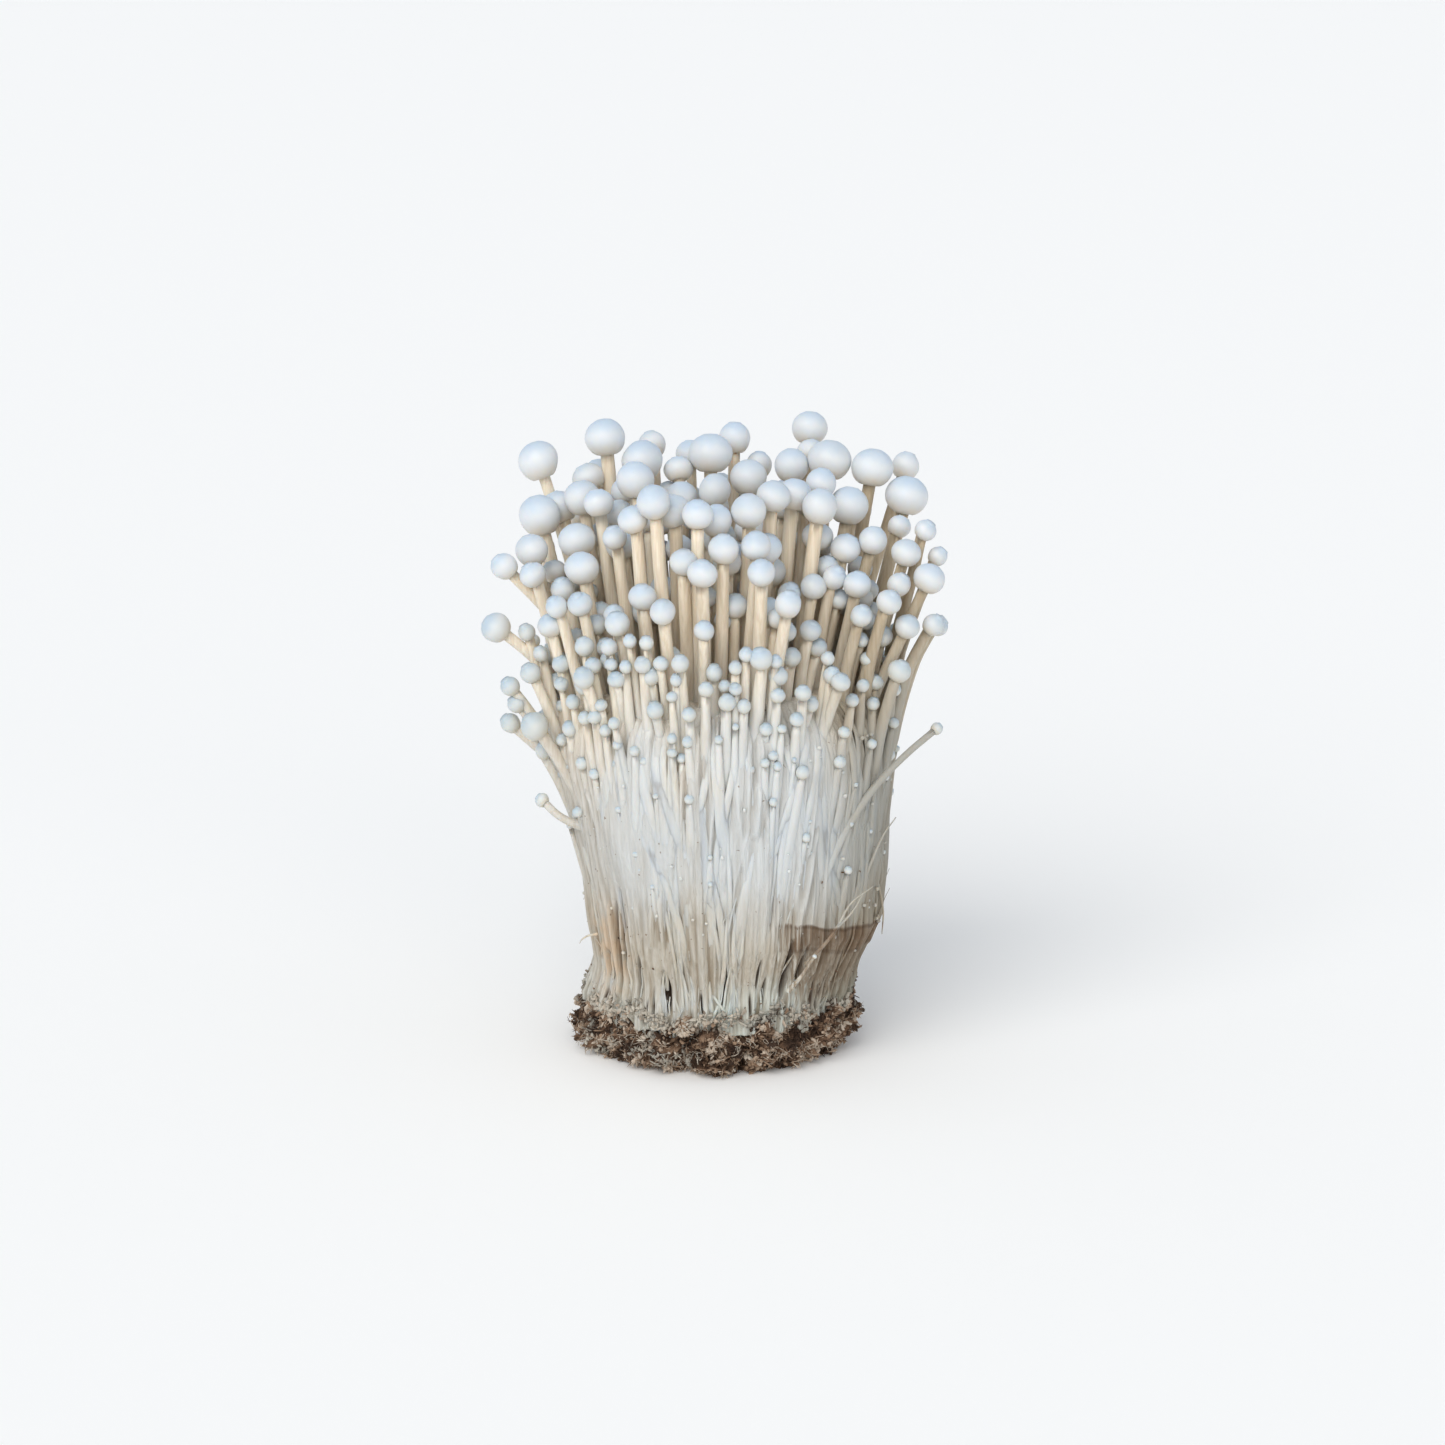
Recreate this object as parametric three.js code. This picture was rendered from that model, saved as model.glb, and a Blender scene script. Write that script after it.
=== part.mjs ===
// An enoki mushroom cluster, as it comes out of its growing bottle and stands on its own spent substrate.
//
// Three kinds of piece make it up:
//   substrate_block    the plug of crumbly sawdust that the mushrooms grew from, with a flat foot to stand on
//   fused_stem_base    the lower stems, grown together into one fibrous mass that flares upwards
//   mushroom_NN        one mushroom each, stem and cap grown as one piece, fanning out of the fused mass
//
// Millimetres, +Z up, the front of the cluster towards -Y, the origin under the middle of its bounding box.

import * as THREE from 'three';
import { mergeVertices } from 'three/addons/utils/BufferGeometryUtils.js';

// ---------------------------------------------------------------- driving dimensions

const DEPTH_TO_WIDTH = 0.87; // the bottle's plug is a little flattened, front to back
const JOIN_GAP = 0.3; // left between pieces that rest on each other

const block = {
  width: 67, // at its widest
  height: 14,
  sides: 32,
};

// The fused mass from just above the block to where the stems part, which leans to the right half way up.
const fused = {
  // [height, width, how far the middle stands to the right]
  sections: [
    [14.3, 64, 0.8],
    [22, 64.5, 3],
    [32, 71, 4.8],
    [44, 73.5, 4.4],
    [58, 76.5, 3.4],
    [70, 80, 2.8],
    [80, 83.5, 1.8],
  ],
  sides: 44,
  ridge: 0.5, // how far the stems on its surface stand out
};
const FUSED_TOP = fused.sections.at(-1)[0];

const stem = {
  rings: 5, // from the root to the underside of the cap
  thinnest: 0.85, // radius of a stem that carries no cap at all
  perCapWidth: 0.065, // what each millimetre of cap adds to the radius
  footFlare: 1.12, // the root is this much thicker than the neck
};

const cap = {
  sides: 8,
  tallness: 0.86, // height over width
  // Radius and height along the cap, as shares of its own, from the gills to the rim and over the top.
  profile: [
    [0.78, 0.1],
    [1.0, 0.42],
    [0.86, 0.76],
    [0.48, 0.96],
  ],
};

const fan = {
  rootHalfWidth: 37.5, // no stem leaves the fused mass further out than this
  squeeze: 0.3, // how much closer the roots stand than the tallest caps
  overHeight: 50, // the height above the fused mass where that squeeze is complete
  rootLean: 0.3, // outward slope of a root at the edge of the mass
};

// The planting plan. Each rank is one depth, from the back of the cluster to its front.
// A mushroom is [across, height of the cap's middle, cap width]. A fourth number moves it back or forward,
// and a fifth pulls its root in towards the middle, for one that leans out of the crowd.
const ranks = [
  {
    depth: 46,
    mushrooms: [
      [-27, 117, 6.4],
      [-9, 121, 7],
      [10, 119, 6.6],
      [27, 115, 6.2],
    ],
  },
  {
    depth: 39,
    mushrooms: [
      [-36, 127, 7.4],
      [-18, 133, 8.4],
      [1, 134, 7.6],
      [18, 132, 8],
      [36, 128, 7.6],
    ],
  },
  {
    depth: 30,
    mushrooms: [
      [-29, 139, 7.4],
      [-6, 144, 7],
      [5, 148, 7.7],
      [24, 150, 8.7, 4],
      [48, 141, 7],
    ],
  },
  {
    depth: 20,
    mushrooms: [
      [-43.5, 144.5, 9.9, -2, 5],
      [-27, 150, 10.2],
      [-18, 144.5, 10.4, -1],
      [-1, 146, 10.2],
      [8.5, 140.5, 8.9, -3],
      [19, 143, 8.2],
      [28.5, 144.5, 10.2, -1],
      [39, 143, 10.2, -3],
      [47.5, 136, 10.2, -4],
    ],
  },
  {
    depth: 9,
    mushrooms: [
      [-43, 132.5, 9.9],
      [-32.5, 137, 8.7],
      [-23.5, 133.5, 7.2, -2],
      [-14.5, 131.5, 8.4],
      [0, 139, 8],
      [9, 129.5, 7.9, -3],
      [17, 135, 6.8],
      [33, 135, 9.4],
    ],
  },
  {
    depth: -1,
    mushrooms: [
      [-44.5, 126, 7.6],
      [-33.5, 128.5, 8.7],
      [-22.5, 127.5, 8.2],
      [-8.5, 126.5, 6.7],
      [5.5, 124, 7.6, -1],
      [14, 121, 7, -2],
      [25, 129, 7.4, 2],
      [38.5, 128.5, 7],
      [46.5, 126, 7.3, -3],
    ],
  },
  {
    depth: -10,
    mushrooms: [
      [-51, 123, 6.2, 4, 11],
      [-32, 123.5, 7.8],
      [-12.5, 118.5, 6],
      [-3.5, 122, 6.5, 3],
      [24, 119, 6.4],
      [34.5, 119.5, 6.8],
      [52, 120.5, 7.2, 2],
    ],
  },
  {
    depth: -18,
    mushrooms: [
      [-53, 108.5, 7.2, 9, 4],
      [-39.5, 110.5, 6.2, 3],
      [-24, 114, 5],
      [5, 116, 6],
      [13, 114.5, 6.6],
      [46.5, 110, 6.2, 4],
    ],
  },
  {
    depth: -29,
    mushrooms: [
      [-31, 101, 5],
      [-15, 102, 4.4, -2],
      [0, 103, 4.2, -3],
      [15, 102, 4.6, -2],
      [30, 100, 4.4],
    ],
  },
];

// ---------------------------------------------------------------- colours and finishes

const finish = {
  substrate: new THREE.MeshStandardMaterial({ name: 'substrate', color: 0x7a5f4b, roughness: 0.95 }),
  fusedStems: new THREE.MeshStandardMaterial({ name: 'fused_stems', color: 0xe3dccf, roughness: 0.6 }),
  mushroom: new THREE.MeshStandardMaterial({ name: 'mushroom', color: 0xf3efe6, roughness: 0.4 }),
};

// ---------------------------------------------------------------- small helpers

// Joins a geometry's split vertices, so that it is one closed surface.
function closed(geometry) {
  geometry.deleteAttribute('normal');
  geometry.deleteAttribute('uv');
  return mergeVertices(geometry, 1e-4);
}

// Revolves [radius, height] points about +Z. `shape` then moves each vertex, by its angle, radius and height.
function revolved(points, sides, shape) {
  const profile = points.map(([radius, height]) => new THREE.Vector2(radius, height));
  const geometry = closed(new THREE.LatheGeometry(profile, sides).rotateX(Math.PI / 2));
  const position = geometry.getAttribute('position');
  const vertex = new THREE.Vector3();
  for (let i = 0; i < position.count; i++) {
    vertex.fromBufferAttribute(position, i);
    const radius = Math.hypot(vertex.x, vertex.y);
    if (radius > 0) vertex.copy(shape(Math.atan2(vertex.y, vertex.x), radius, vertex.z));
    position.setXYZ(i, vertex.x, vertex.y, vertex.z);
  }
  return geometry;
}

// A point of an oval section, flattened front to back.
function ovalPoint(angle, radius, height) {
  return new THREE.Vector3(radius * Math.cos(angle), radius * Math.sin(angle) * DEPTH_TO_WIDTH, height);
}

// ---------------------------------------------------------------- substrate block

// A plug of sawdust: flat underneath and on top, crumbled away around its lower edge.
function substrateBlock() {
  const half = block.width / 2;
  const outline = [
    [0, 0],
    [half * 0.86, 0],
    [half * 0.97, 2.5],
    [half, 6],
    [half * 0.98, 11],
    [half * 0.94, block.height],
    [0, block.height],
  ];
  const crumbled = (angle, radius, height) => {
    const lumps = 0.022 * Math.sin(3 * angle + 0.6) + 0.014 * Math.sin(8 * angle + 0.35 * height);
    return ovalPoint(angle, radius * (1 + lumps), height);
  };
  return new THREE.Mesh(revolved(outline, block.sides, crumbled), finish.substrate);
}

// ---------------------------------------------------------------- fused stem base

// How far to the right the fused mass stands at the height of one of its sections.
function swayAt(height) {
  const section = fused.sections.find(([level]) => Math.abs(level - height) < 0.01);
  return section[2];
}

// The flaring mass of grown-together stems, with shallow ridges down its sides.
function fusedStemBase() {
  const outline = fused.sections.map(([height, width]) => [width / 2, height]);
  outline.unshift([0, outline[0][1]]);
  outline.push([0, FUSED_TOP]);
  const ridged = (angle, radius, height) => {
    const lobes = 0.018 * Math.sin(2 * angle + 0.9) + 0.012 * Math.sin(5 * angle + 0.02 * height);
    const ridge = fused.ridge * Math.cos((fused.sides / 2) * angle);
    const point = ovalPoint(angle, radius * (1 + lobes) + ridge, height);
    point.x += swayAt(height);
    return point;
  };
  return new THREE.Mesh(revolved(outline, fused.sides, ridged), finish.fusedStems);
}

// ---------------------------------------------------------------- mushrooms

// Where a mushroom leaves the fused mass: nearer the middle than its cap, and never past the edge.
function rootOf(capMiddle, pull) {
  const climbed = Math.min((capMiddle.z - FUSED_TOP) / fan.overHeight, 1);
  const root = capMiddle.clone().multiplyScalar(1 - fan.squeeze * climbed);
  const reach = Math.hypot(root.x, root.y / DEPTH_TO_WIDTH);
  if (reach > 0) root.multiplyScalar((Math.min(reach, fan.rootHalfWidth) - pull) / reach);
  return root.setZ(FUSED_TOP);
}

// A mushroom is one revolved profile, root to cap, laid along the curve that its stem grew in.
function mushroom(across, depth, height, capWidth, pull) {
  const capMiddle = new THREE.Vector3(across, depth, height);
  const capHeight = capWidth * cap.tallness;
  const radius = stem.thinnest + stem.perCapWidth * capWidth;
  const root = rootOf(capMiddle, pull);

  const lean = root.clone().multiplyScalar(fan.rootLean / fan.rootHalfWidth);
  lean.setZ(1).normalize();
  const tilt = Math.hypot(lean.x, lean.y);
  root.z += JOIN_GAP + radius * stem.footFlare * tilt;
  const bend = lean.clone().multiplyScalar(root.distanceTo(capMiddle) * 0.5).add(root);
  const curve = new THREE.QuadraticBezierCurve3(root, bend, capMiddle);
  const length = curve.getLength();
  const neck = length - capHeight / 2; // the cap's underside

  const profile = [new THREE.Vector2(0, 0)];
  for (let i = 0; i < stem.rings; i++) {
    const share = i / (stem.rings - 1);
    profile.push(new THREE.Vector2(radius * THREE.MathUtils.lerp(stem.footFlare, 1, share), neck * share));
  }
  for (const [out, up] of cap.profile) {
    profile.push(new THREE.Vector2((out * capWidth) / 2, neck + up * capHeight));
  }
  profile.push(new THREE.Vector2(0, neck + capHeight));

  const straight = closed(new THREE.LatheGeometry(profile, cap.sides));
  return new THREE.Mesh(alongCurve(straight, curve, neck), finish.mushroom);
}

// Bends a geometry that stands on +Y so that its axis follows the curve, and straight on past `straightFrom`.
function alongCurve(geometry, curve, straightFrom) {
  const length = curve.getLength();
  const position = geometry.getAttribute('position');
  const upright = new THREE.Vector3(0, 1, 0);
  const turn = new THREE.Quaternion();
  const place = new THREE.Vector3();
  for (let i = 0; i < position.count; i++) {
    place.fromBufferAttribute(position, i);
    const along = place.y;
    const share = Math.min(along, straightFrom) / length;
    const forward = curve.getTangentAt(share);
    turn.setFromUnitVectors(upright, forward);
    place.setY(Math.max(along - straightFrom, 0)).applyQuaternion(turn).add(curve.getPointAt(share));
    position.setXYZ(i, place.x, place.y, place.z);
  }
  return geometry;
}

// ---------------------------------------------------------------- the cluster

const cluster = new THREE.Group();

const substrate = substrateBlock();
substrate.name = 'substrate_block';
cluster.add(substrate);

const fusedStems = fusedStemBase();
fusedStems.name = 'fused_stem_base';
cluster.add(fusedStems);

let planted = 0;
for (const { depth, mushrooms } of ranks) {
  for (const [across, height, capWidth, shift = 0, pull = 0] of mushrooms) {
    planted += 1;
    const piece = mushroom(across, depth + shift, height, capWidth, pull);
    piece.name = `mushroom_${String(planted).padStart(2, '0')}`;
    cluster.add(piece);
  }
}

// The origin lies under the middle of the whole cluster, on the surface that it stands on.
const extent = new THREE.Box3().setFromObject(cluster);
const middle = extent.getCenter(new THREE.Vector3());
cluster.position.set(-middle.x, -middle.y, -extent.min.z);

export default cluster;
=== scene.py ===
import math

import bmesh
import bpy
import numpy as np
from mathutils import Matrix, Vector


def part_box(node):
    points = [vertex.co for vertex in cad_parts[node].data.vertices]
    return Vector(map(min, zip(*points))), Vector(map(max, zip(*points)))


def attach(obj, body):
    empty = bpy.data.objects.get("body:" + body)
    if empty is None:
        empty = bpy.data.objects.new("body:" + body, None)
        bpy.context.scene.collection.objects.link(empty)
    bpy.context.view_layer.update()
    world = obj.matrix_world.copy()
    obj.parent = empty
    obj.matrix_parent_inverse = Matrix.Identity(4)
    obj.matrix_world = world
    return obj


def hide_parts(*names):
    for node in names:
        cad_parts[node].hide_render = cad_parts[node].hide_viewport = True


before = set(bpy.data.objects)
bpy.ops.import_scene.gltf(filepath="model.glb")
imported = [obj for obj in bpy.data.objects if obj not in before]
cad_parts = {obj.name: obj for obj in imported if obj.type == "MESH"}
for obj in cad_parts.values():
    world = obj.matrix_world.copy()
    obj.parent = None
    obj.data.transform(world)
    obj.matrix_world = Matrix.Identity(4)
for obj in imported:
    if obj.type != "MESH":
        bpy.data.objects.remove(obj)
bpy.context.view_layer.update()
rng = np.random.default_rng(20)  # every random draw comes from here, in one fixed order
millimetre = 0.001  # all shapes are worked out in millimetres and become metres when a mesh is made

# The bunch as a whole: its half width at each height, and how much further
# it spreads on the right than on the left.
bunch = {
    "flattened": 0.87,
    "heights": (0, 14, 22, 33, 45, 58, 70, 80, 100, 120, 140, 160),
    "halfWidths": (32, 32, 32.3, 35.6, 36.8, 38.2, 40, 41.7, 44, 47, 48.5, 49),
    "lopsided": (0.8, 0.8, 3, 4.8, 4.4, 3.4, 2.8, 1.8, 0, 0, 0, 0),
}
blockLow, blockHigh = (np.array(corner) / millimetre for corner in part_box("substrate_block"))
plugMiddle = np.array([*(blockLow + blockHigh)[:2] / 2, 0])
plantMiddle = plugMiddle[:2] + np.array([-0.4, 0.5])  # the bunch grew a little off the plug's middle
front = -math.pi / 2


def smooth(low, high, x):
    t = np.clip((np.asarray(x, float) - low) / (high - low), 0, 1)
    return t * t * (3 - 2 * t)


def unit(v):
    return np.asarray(v, float) / max(np.linalg.norm(v), 1e-9)


def bunchAt(name, height):
    return np.interp(height, bunch["heights"], bunch[name])


def reachAt(angle, height):
    return bunchAt("halfWidths", height) + bunchAt("lopsided", height) * np.cos(angle)


# A place in the bunch: the direction from its middle, the share of the way out, and the height.
def flowPoint(angle, share, height):
    height = np.asarray(height, float)
    reach = reachAt(angle, height) * share
    x = plantMiddle[0] + reach * np.cos(angle)
    y = plantMiddle[1] + reach * bunch["flattened"] * np.sin(angle)
    return np.stack(np.broadcast_arrays(x, y, height), axis=-1)


def flowPlace(point):
    x = point[0] - plantMiddle[0]
    y = (point[1] - plantMiddle[1]) / bunch["flattened"]
    angle = math.atan2(y, x)
    return angle, math.hypot(x, y) / reachAt(angle, point[2])


# The direction, in front, of the place that stands x to the right of the middle.
def angleAcross(x, share, height):
    angles = np.linspace(-math.pi + 0.16, -0.16, 120)
    return np.interp(x, share * reachAt(angles, height) * np.cos(angles), angles)


def smoothLine(points, count):
    p = np.asarray(points, float)
    p = np.vstack([2 * p[0] - p[1], p, 2 * p[-1] - p[-2]])
    t = np.linspace(0, 1, 10, endpoint=False)[:, None]
    fine = [0.5 * (2 * b + (c - a) * t + (2 * a - 5 * b + 4 * c - d) * t ** 2
                   + (3 * b - a - 3 * c + d) * t ** 3)
            for a, b, c, d in zip(p, p[1:], p[2:], p[3:])]
    fine = np.vstack([*fine, p[-2]])
    along = np.concatenate([[0], np.cumsum(np.linalg.norm(np.diff(fine, axis=0), axis=1))])
    at = np.linspace(0, along[-1], count)
    return np.stack([np.interp(at, along, fine[:, k]) for k in range(3)], axis=1)


# Directions along and across a line at each of its points, carried along without twisting.
def lineFrames(line):
    forward = np.gradient(line, axis=0)
    forward /= np.linalg.norm(forward, axis=1)[:, None]
    side = np.cross(forward[0], [0.31, 0.95, 0.12])
    sides = []
    for f in forward:
        side = unit(side - side.dot(f) * f)
        sides.append(side)
    sides = np.array(sides)
    return forward, sides, np.cross(forward, sides)


class Heap:
    # meshes poured together into one piece, with a few numbers kept for each of its points

    def __init__(self):
        self.points, self.faces, self.marks, self.count = [], [], [], 0

    def pour(self, points, faces, **marks):
        self.points.append(points)
        self.faces.extend((np.asarray(faces) + self.count).tolist() if isinstance(faces, np.ndarray)
                          else [[i + self.count for i in face] for face in faces])
        self.marks.append({name: np.broadcast_to(value, len(points)) for name, value in marks.items()})
        self.count += len(points)

    def make(self, name, material, rounded=True):
        mesh = bpy.data.meshes.new(name)
        mesh.from_pydata((np.concatenate(self.points) * millimetre).tolist(), [], self.faces)
        for mark in self.marks[0]:
            values = np.concatenate([m[mark] for m in self.marks]).astype(np.float32)
            mesh.attributes.new(mark, "FLOAT", "POINT").data.foreach_set("value", values)
        mesh.polygons.foreach_set("use_smooth", [rounded] * len(mesh.polygons))
        mesh.materials.append(material)
        piece = bpy.data.objects.new(name, mesh)
        bpy.context.scene.collection.objects.link(piece)
        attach(piece, "root")
        return piece


def tubeFaces(rings, sides):
    # a fan round the first point, quads from ring to ring, and a fan round the last point
    last = rings * sides + 1
    faces = [[0, 1 + (k + 1) % sides, 1 + k] for k in range(sides)]
    for r in range(rings - 1):
        a, b = 1 + r * sides, 1 + (r + 1) * sides
        faces += [[a + k, a + (k + 1) % sides, b + (k + 1) % sides, b + k] for k in range(sides)]
    top = last - sides
    return faces + [[top + k, top + (k + 1) % sides, last] for k in range(sides)]


# A round bar along a line, with closed ends. radii holds a row for each ring and a number for each side.
def tubePoints(line, radii, squash=None, outward=None):
    forward, u, v = lineFrames(line)
    if outward is not None:  # broad across, and thin towards `outward`
        v = outward - (outward * forward).sum(1)[:, None] * forward
        v /= np.linalg.norm(v, axis=1)[:, None]
        u = np.cross(v, forward)
    turn = np.arange(radii.shape[1]) * 2 * math.pi / radii.shape[1]
    thin = np.ones(len(line)) if squash is None else squash
    ring = (u[:, None] * np.cos(turn)[None, :, None]
            + v[:, None] * (np.sin(turn)[None] * thin[:, None])[:, :, None])
    points = line[:, None] + ring * radii[:, :, None]
    start = line[0] - forward[0] * radii[0].mean() * 0.3
    end = line[-1] + forward[-1] * radii[-1].mean() * 0.3
    return np.vstack([start[None], points.reshape(-1, 3), end[None]])


print("helpers ready")

# One mushroom, stem and button grown as one skin. Shares of the button's own half width and half height,
# from where the stem goes in, round the rolled-in rim, and over the top.
mushroomShape = {
    "button": ((0.33, -0.70), (0.40, -0.84), (0.52, -0.875), (0.66, -0.78), (0.80, -0.61),
               (0.91, -0.40), (0.98, -0.16), (1.0, 0.06), (0.965, 0.28), (0.885, 0.48),
               (0.77, 0.65), (0.63, 0.785), (0.46, 0.89), (0.25, 0.965)),
    "stemDepth": 0.62,  # how far below the button's middle the stem ends, in half heights
    "dents": 3,
    "dentDepth": 0.08,
    "stemUneven": 0.025,
    "sidesBySize": ((0, 10), (2, 12), (3.4, 16), (5.5, 20), (7.5, 24)),
}


def growMushroom(heap, line, stemRadii, middle, axis, width, tall, tone, squash=None, outward=None):
    sides = int(np.interp(width, *zip(*mushroomShape["sidesBySize"])) / 2) * 2
    shape = np.array(mushroomShape["button"])
    if width < 3:
        shape = shape[::2]
    half, halfTall = width / 2, width / 2 * tall
    neck = stemRadii[-1]
    turn = np.arange(sides) * 2 * math.pi / sides

    # the stem: never quite round, and turning slowly as it climbs
    n = len(line)
    phase, twist = rng.uniform(0, 6.28), rng.uniform(-2, 2)
    along = np.linspace(0, 1, n)[:, None]
    twoSided = np.sin(2 * turn + phase + twist * along)
    threeSided = np.sin(3 * turn + 2 * phase - 3 * twist * along)
    uneven = 1 + mushroomShape["stemUneven"] * (twoSided + 0.6 * threeSided)
    stem = tubePoints(line, stemRadii[:, None] * uneven, squash, outward)[:-1]

    # the button
    u = lineFrames(line[-3:])[1][-1]
    u = unit(u - u.dot(axis) * axis)
    v = np.cross(axis, u)
    if outward is not None:
        flat = unit(outward[-1] - outward[-1].dot(axis) * axis)
        u, v = np.cross(flat, axis), flat
    out = np.maximum(shape[:, 0] * half, neck * 1.02)
    around = u * np.cos(turn)[:, None] + v * np.sin(turn)[:, None]
    rings = middle + axis * (shape[:, 1] * halfTall)[:, None, None] + around[None] * out[:, None, None]
    button = np.vstack([rings.reshape(-1, 3), middle + axis * halfTall])
    ways = button - middle
    ways /= np.linalg.norm(ways, axis=1)[:, None]
    change = np.zeros(len(button))
    for _ in range(mushroomShape["dents"]):
        dent = unit(rng.normal(size=3))
        size = rng.uniform(-1.2, 0.7) * mushroomShape["dentDepth"]
        change += size * np.exp(-((ways - dent) ** 2).sum(1) / rng.uniform(0.15, 0.5))
    oval = rng.uniform(-0.07, 0.07)
    change += oval * (ways @ u) ** 2 - oval * (ways @ v) ** 2
    button = middle + (button - middle) * (1 + change)[:, None]

    points = np.vstack([stem, button])
    cap = np.concatenate([np.zeros(len(stem)), np.full(sides, 0.3), np.ones(len(button) - sides)])
    rise = np.concatenate([np.full(len(stem), -1.0), np.repeat(shape[:, 1], sides), [1.0]])
    heap.pour(points, tubeFaces(n + len(shape), sides), cap=cap, rise=rise, tone=tone)


# What stands where, so that no button grows through another or through a stem.
standing = {"buttons": [], "stems": []}


def remember(line, stemRadii, middle, width):
    standing["buttons"].append((*middle, width / 2))
    keep = line[:, 2] > 70
    standing["stems"].append(np.column_stack([line[keep], stemRadii[keep]])[::2])


def crowding(line, stemRadii, middle, width):
    # how deep the worst overlap with what already stands is, in millimetres
    buttons = np.array(standing["buttons"])
    worst = (buttons[:, 3] + width / 2 - np.linalg.norm(buttons[:, :3] - middle, axis=1)).max()
    stems = np.vstack(standing["stems"])
    worst = max(worst, (stems[:, 3] * 0.8 + width / 2 - np.linalg.norm(stems[:, :3] - middle, axis=1)).max())
    near = line[line[:, 2] > 80][::2]
    if len(near):
        gaps = np.linalg.norm(near[:, None] - buttons[None, :, :3], axis=2) - buttons[None, :, 3]
        worst = max(worst, stemRadii.min() - gaps.min())
    return worst


print("mushroom maker ready")


# Short ways to write node trees. An input goes by its name, or by its place as i0, i1 and so on.
def addNode(tree, kind, settings=None, **inputs):
    node = tree.nodes.new("ShaderNode" + kind)
    for name, value in (settings or {}).items():
        setattr(node, name, value)
    for name, value in inputs.items():
        numbered = name[0] == "i" and name[1:].isdigit()
        socket = node.inputs[int(name[1:]) if numbered else name.replace("_", " ")]
        if isinstance(value, bpy.types.NodeSocket):
            tree.links.new(value, socket)
        else:
            socket.default_value = value
    return node


def blendColour(tree, share, first, second, how="MIX"):
    node = addNode(tree, "Mix", {"data_type": "RGBA", "blend_type": how, "clamp_factor": True})
    for index, value in ((0, share), (6, first), (7, second)):
        if isinstance(value, bpy.types.NodeSocket):
            tree.links.new(value, node.inputs[index])
        else:
            node.inputs[index].default_value = value
    return node.outputs[2]


def remap(tree, value, low, high, toLow=0.0, toHigh=1.0):
    node = addNode(tree, "MapRange", {"interpolation_type": "SMOOTHSTEP"}, Value=value)
    for name, number in (("From Min", low), ("From Max", high), ("To Min", toLow), ("To Max", toHigh)):
        node.inputs[name].default_value = number
    return node.outputs["Result"]


def maths(tree, operation, first, second):
    return addNode(tree, "Math", {"operation": operation}, i0=first, i1=second).outputs[0]


def plus(tree, first, second):
    return maths(tree, "ADD", first, second)


def times(tree, *values):
    product = values[0]
    for value in values[1:]:
        product = maths(tree, "MULTIPLY", product, value)
    return product


def vectorMaths(tree, operation, first, second):
    return addNode(tree, "VectorMath", {"operation": operation}, i0=first, i1=second).outputs[0]


def noise(tree, place, scale, **settings):
    return addNode(tree, "TexNoise", Vector=place, Scale=scale, **settings).outputs["Fac"]


def axesOf(tree, place):
    return addNode(tree, "SeparateXYZ", Vector=place).outputs


def colourRamp(tree, factor, stops):
    node = addNode(tree, "ValToRGB", Fac=factor)
    ramp = node.color_ramp
    while len(ramp.elements) < len(stops):
        ramp.elements.new(0.5)
    for element, (position, colour) in zip(ramp.elements, stops):
        element.position, element.color = position, colour
    return node.outputs["Color"]


def paint(red, green, blue):
    # a colour as it is read off a paint card, 0 to 255, as the linear numbers that a shader takes
    linear = [c / 255 / 12.92 if c <= 10 else ((c / 255 + 0.055) / 1.055) ** 2.4 for c in (red, green, blue)]
    return (*linear, 1.0)


def newGroup(name, inputs, outputs):
    group = bpy.data.node_groups.new(name, "ShaderNodeTree")
    for label, kind, value in inputs:
        socket = group.interface.new_socket(label, in_out="INPUT", socket_type="NodeSocket" + kind)
        if value is not None:
            socket.default_value = value
    for label, kind in outputs:
        group.interface.new_socket(label, in_out="OUTPUT", socket_type="NodeSocket" + kind)
    return group, group.nodes.new("NodeGroupInput").outputs, group.nodes.new("NodeGroupOutput").inputs


# Long fine fibres that run up the stems.
def makeFibreGrain():
    group, given, result = newGroup(
        "fibreGrain",
        [("Place", "Vector", None), ("Across", "Float", 900.0), ("Along", "Float", 60.0)],
        [("Streak", "Float"), ("Fine", "Float")],
    )
    scale = addNode(group, "CombineXYZ", X=given["Across"], Y=given["Across"], Z=given["Along"]).outputs[0]
    place = vectorMaths(group, "MULTIPLY", given["Place"], scale)
    streak = noise(group, place, 1.0, Detail=3.0, Roughness=0.6)
    fine = noise(group, place, 3.1, Detail=2.0, Roughness=0.55)
    group.links.new(remap(group, streak, 0.32, 0.68), result["Streak"])
    group.links.new(remap(group, fine, 0.3, 0.7), result["Fine"])
    return group


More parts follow.
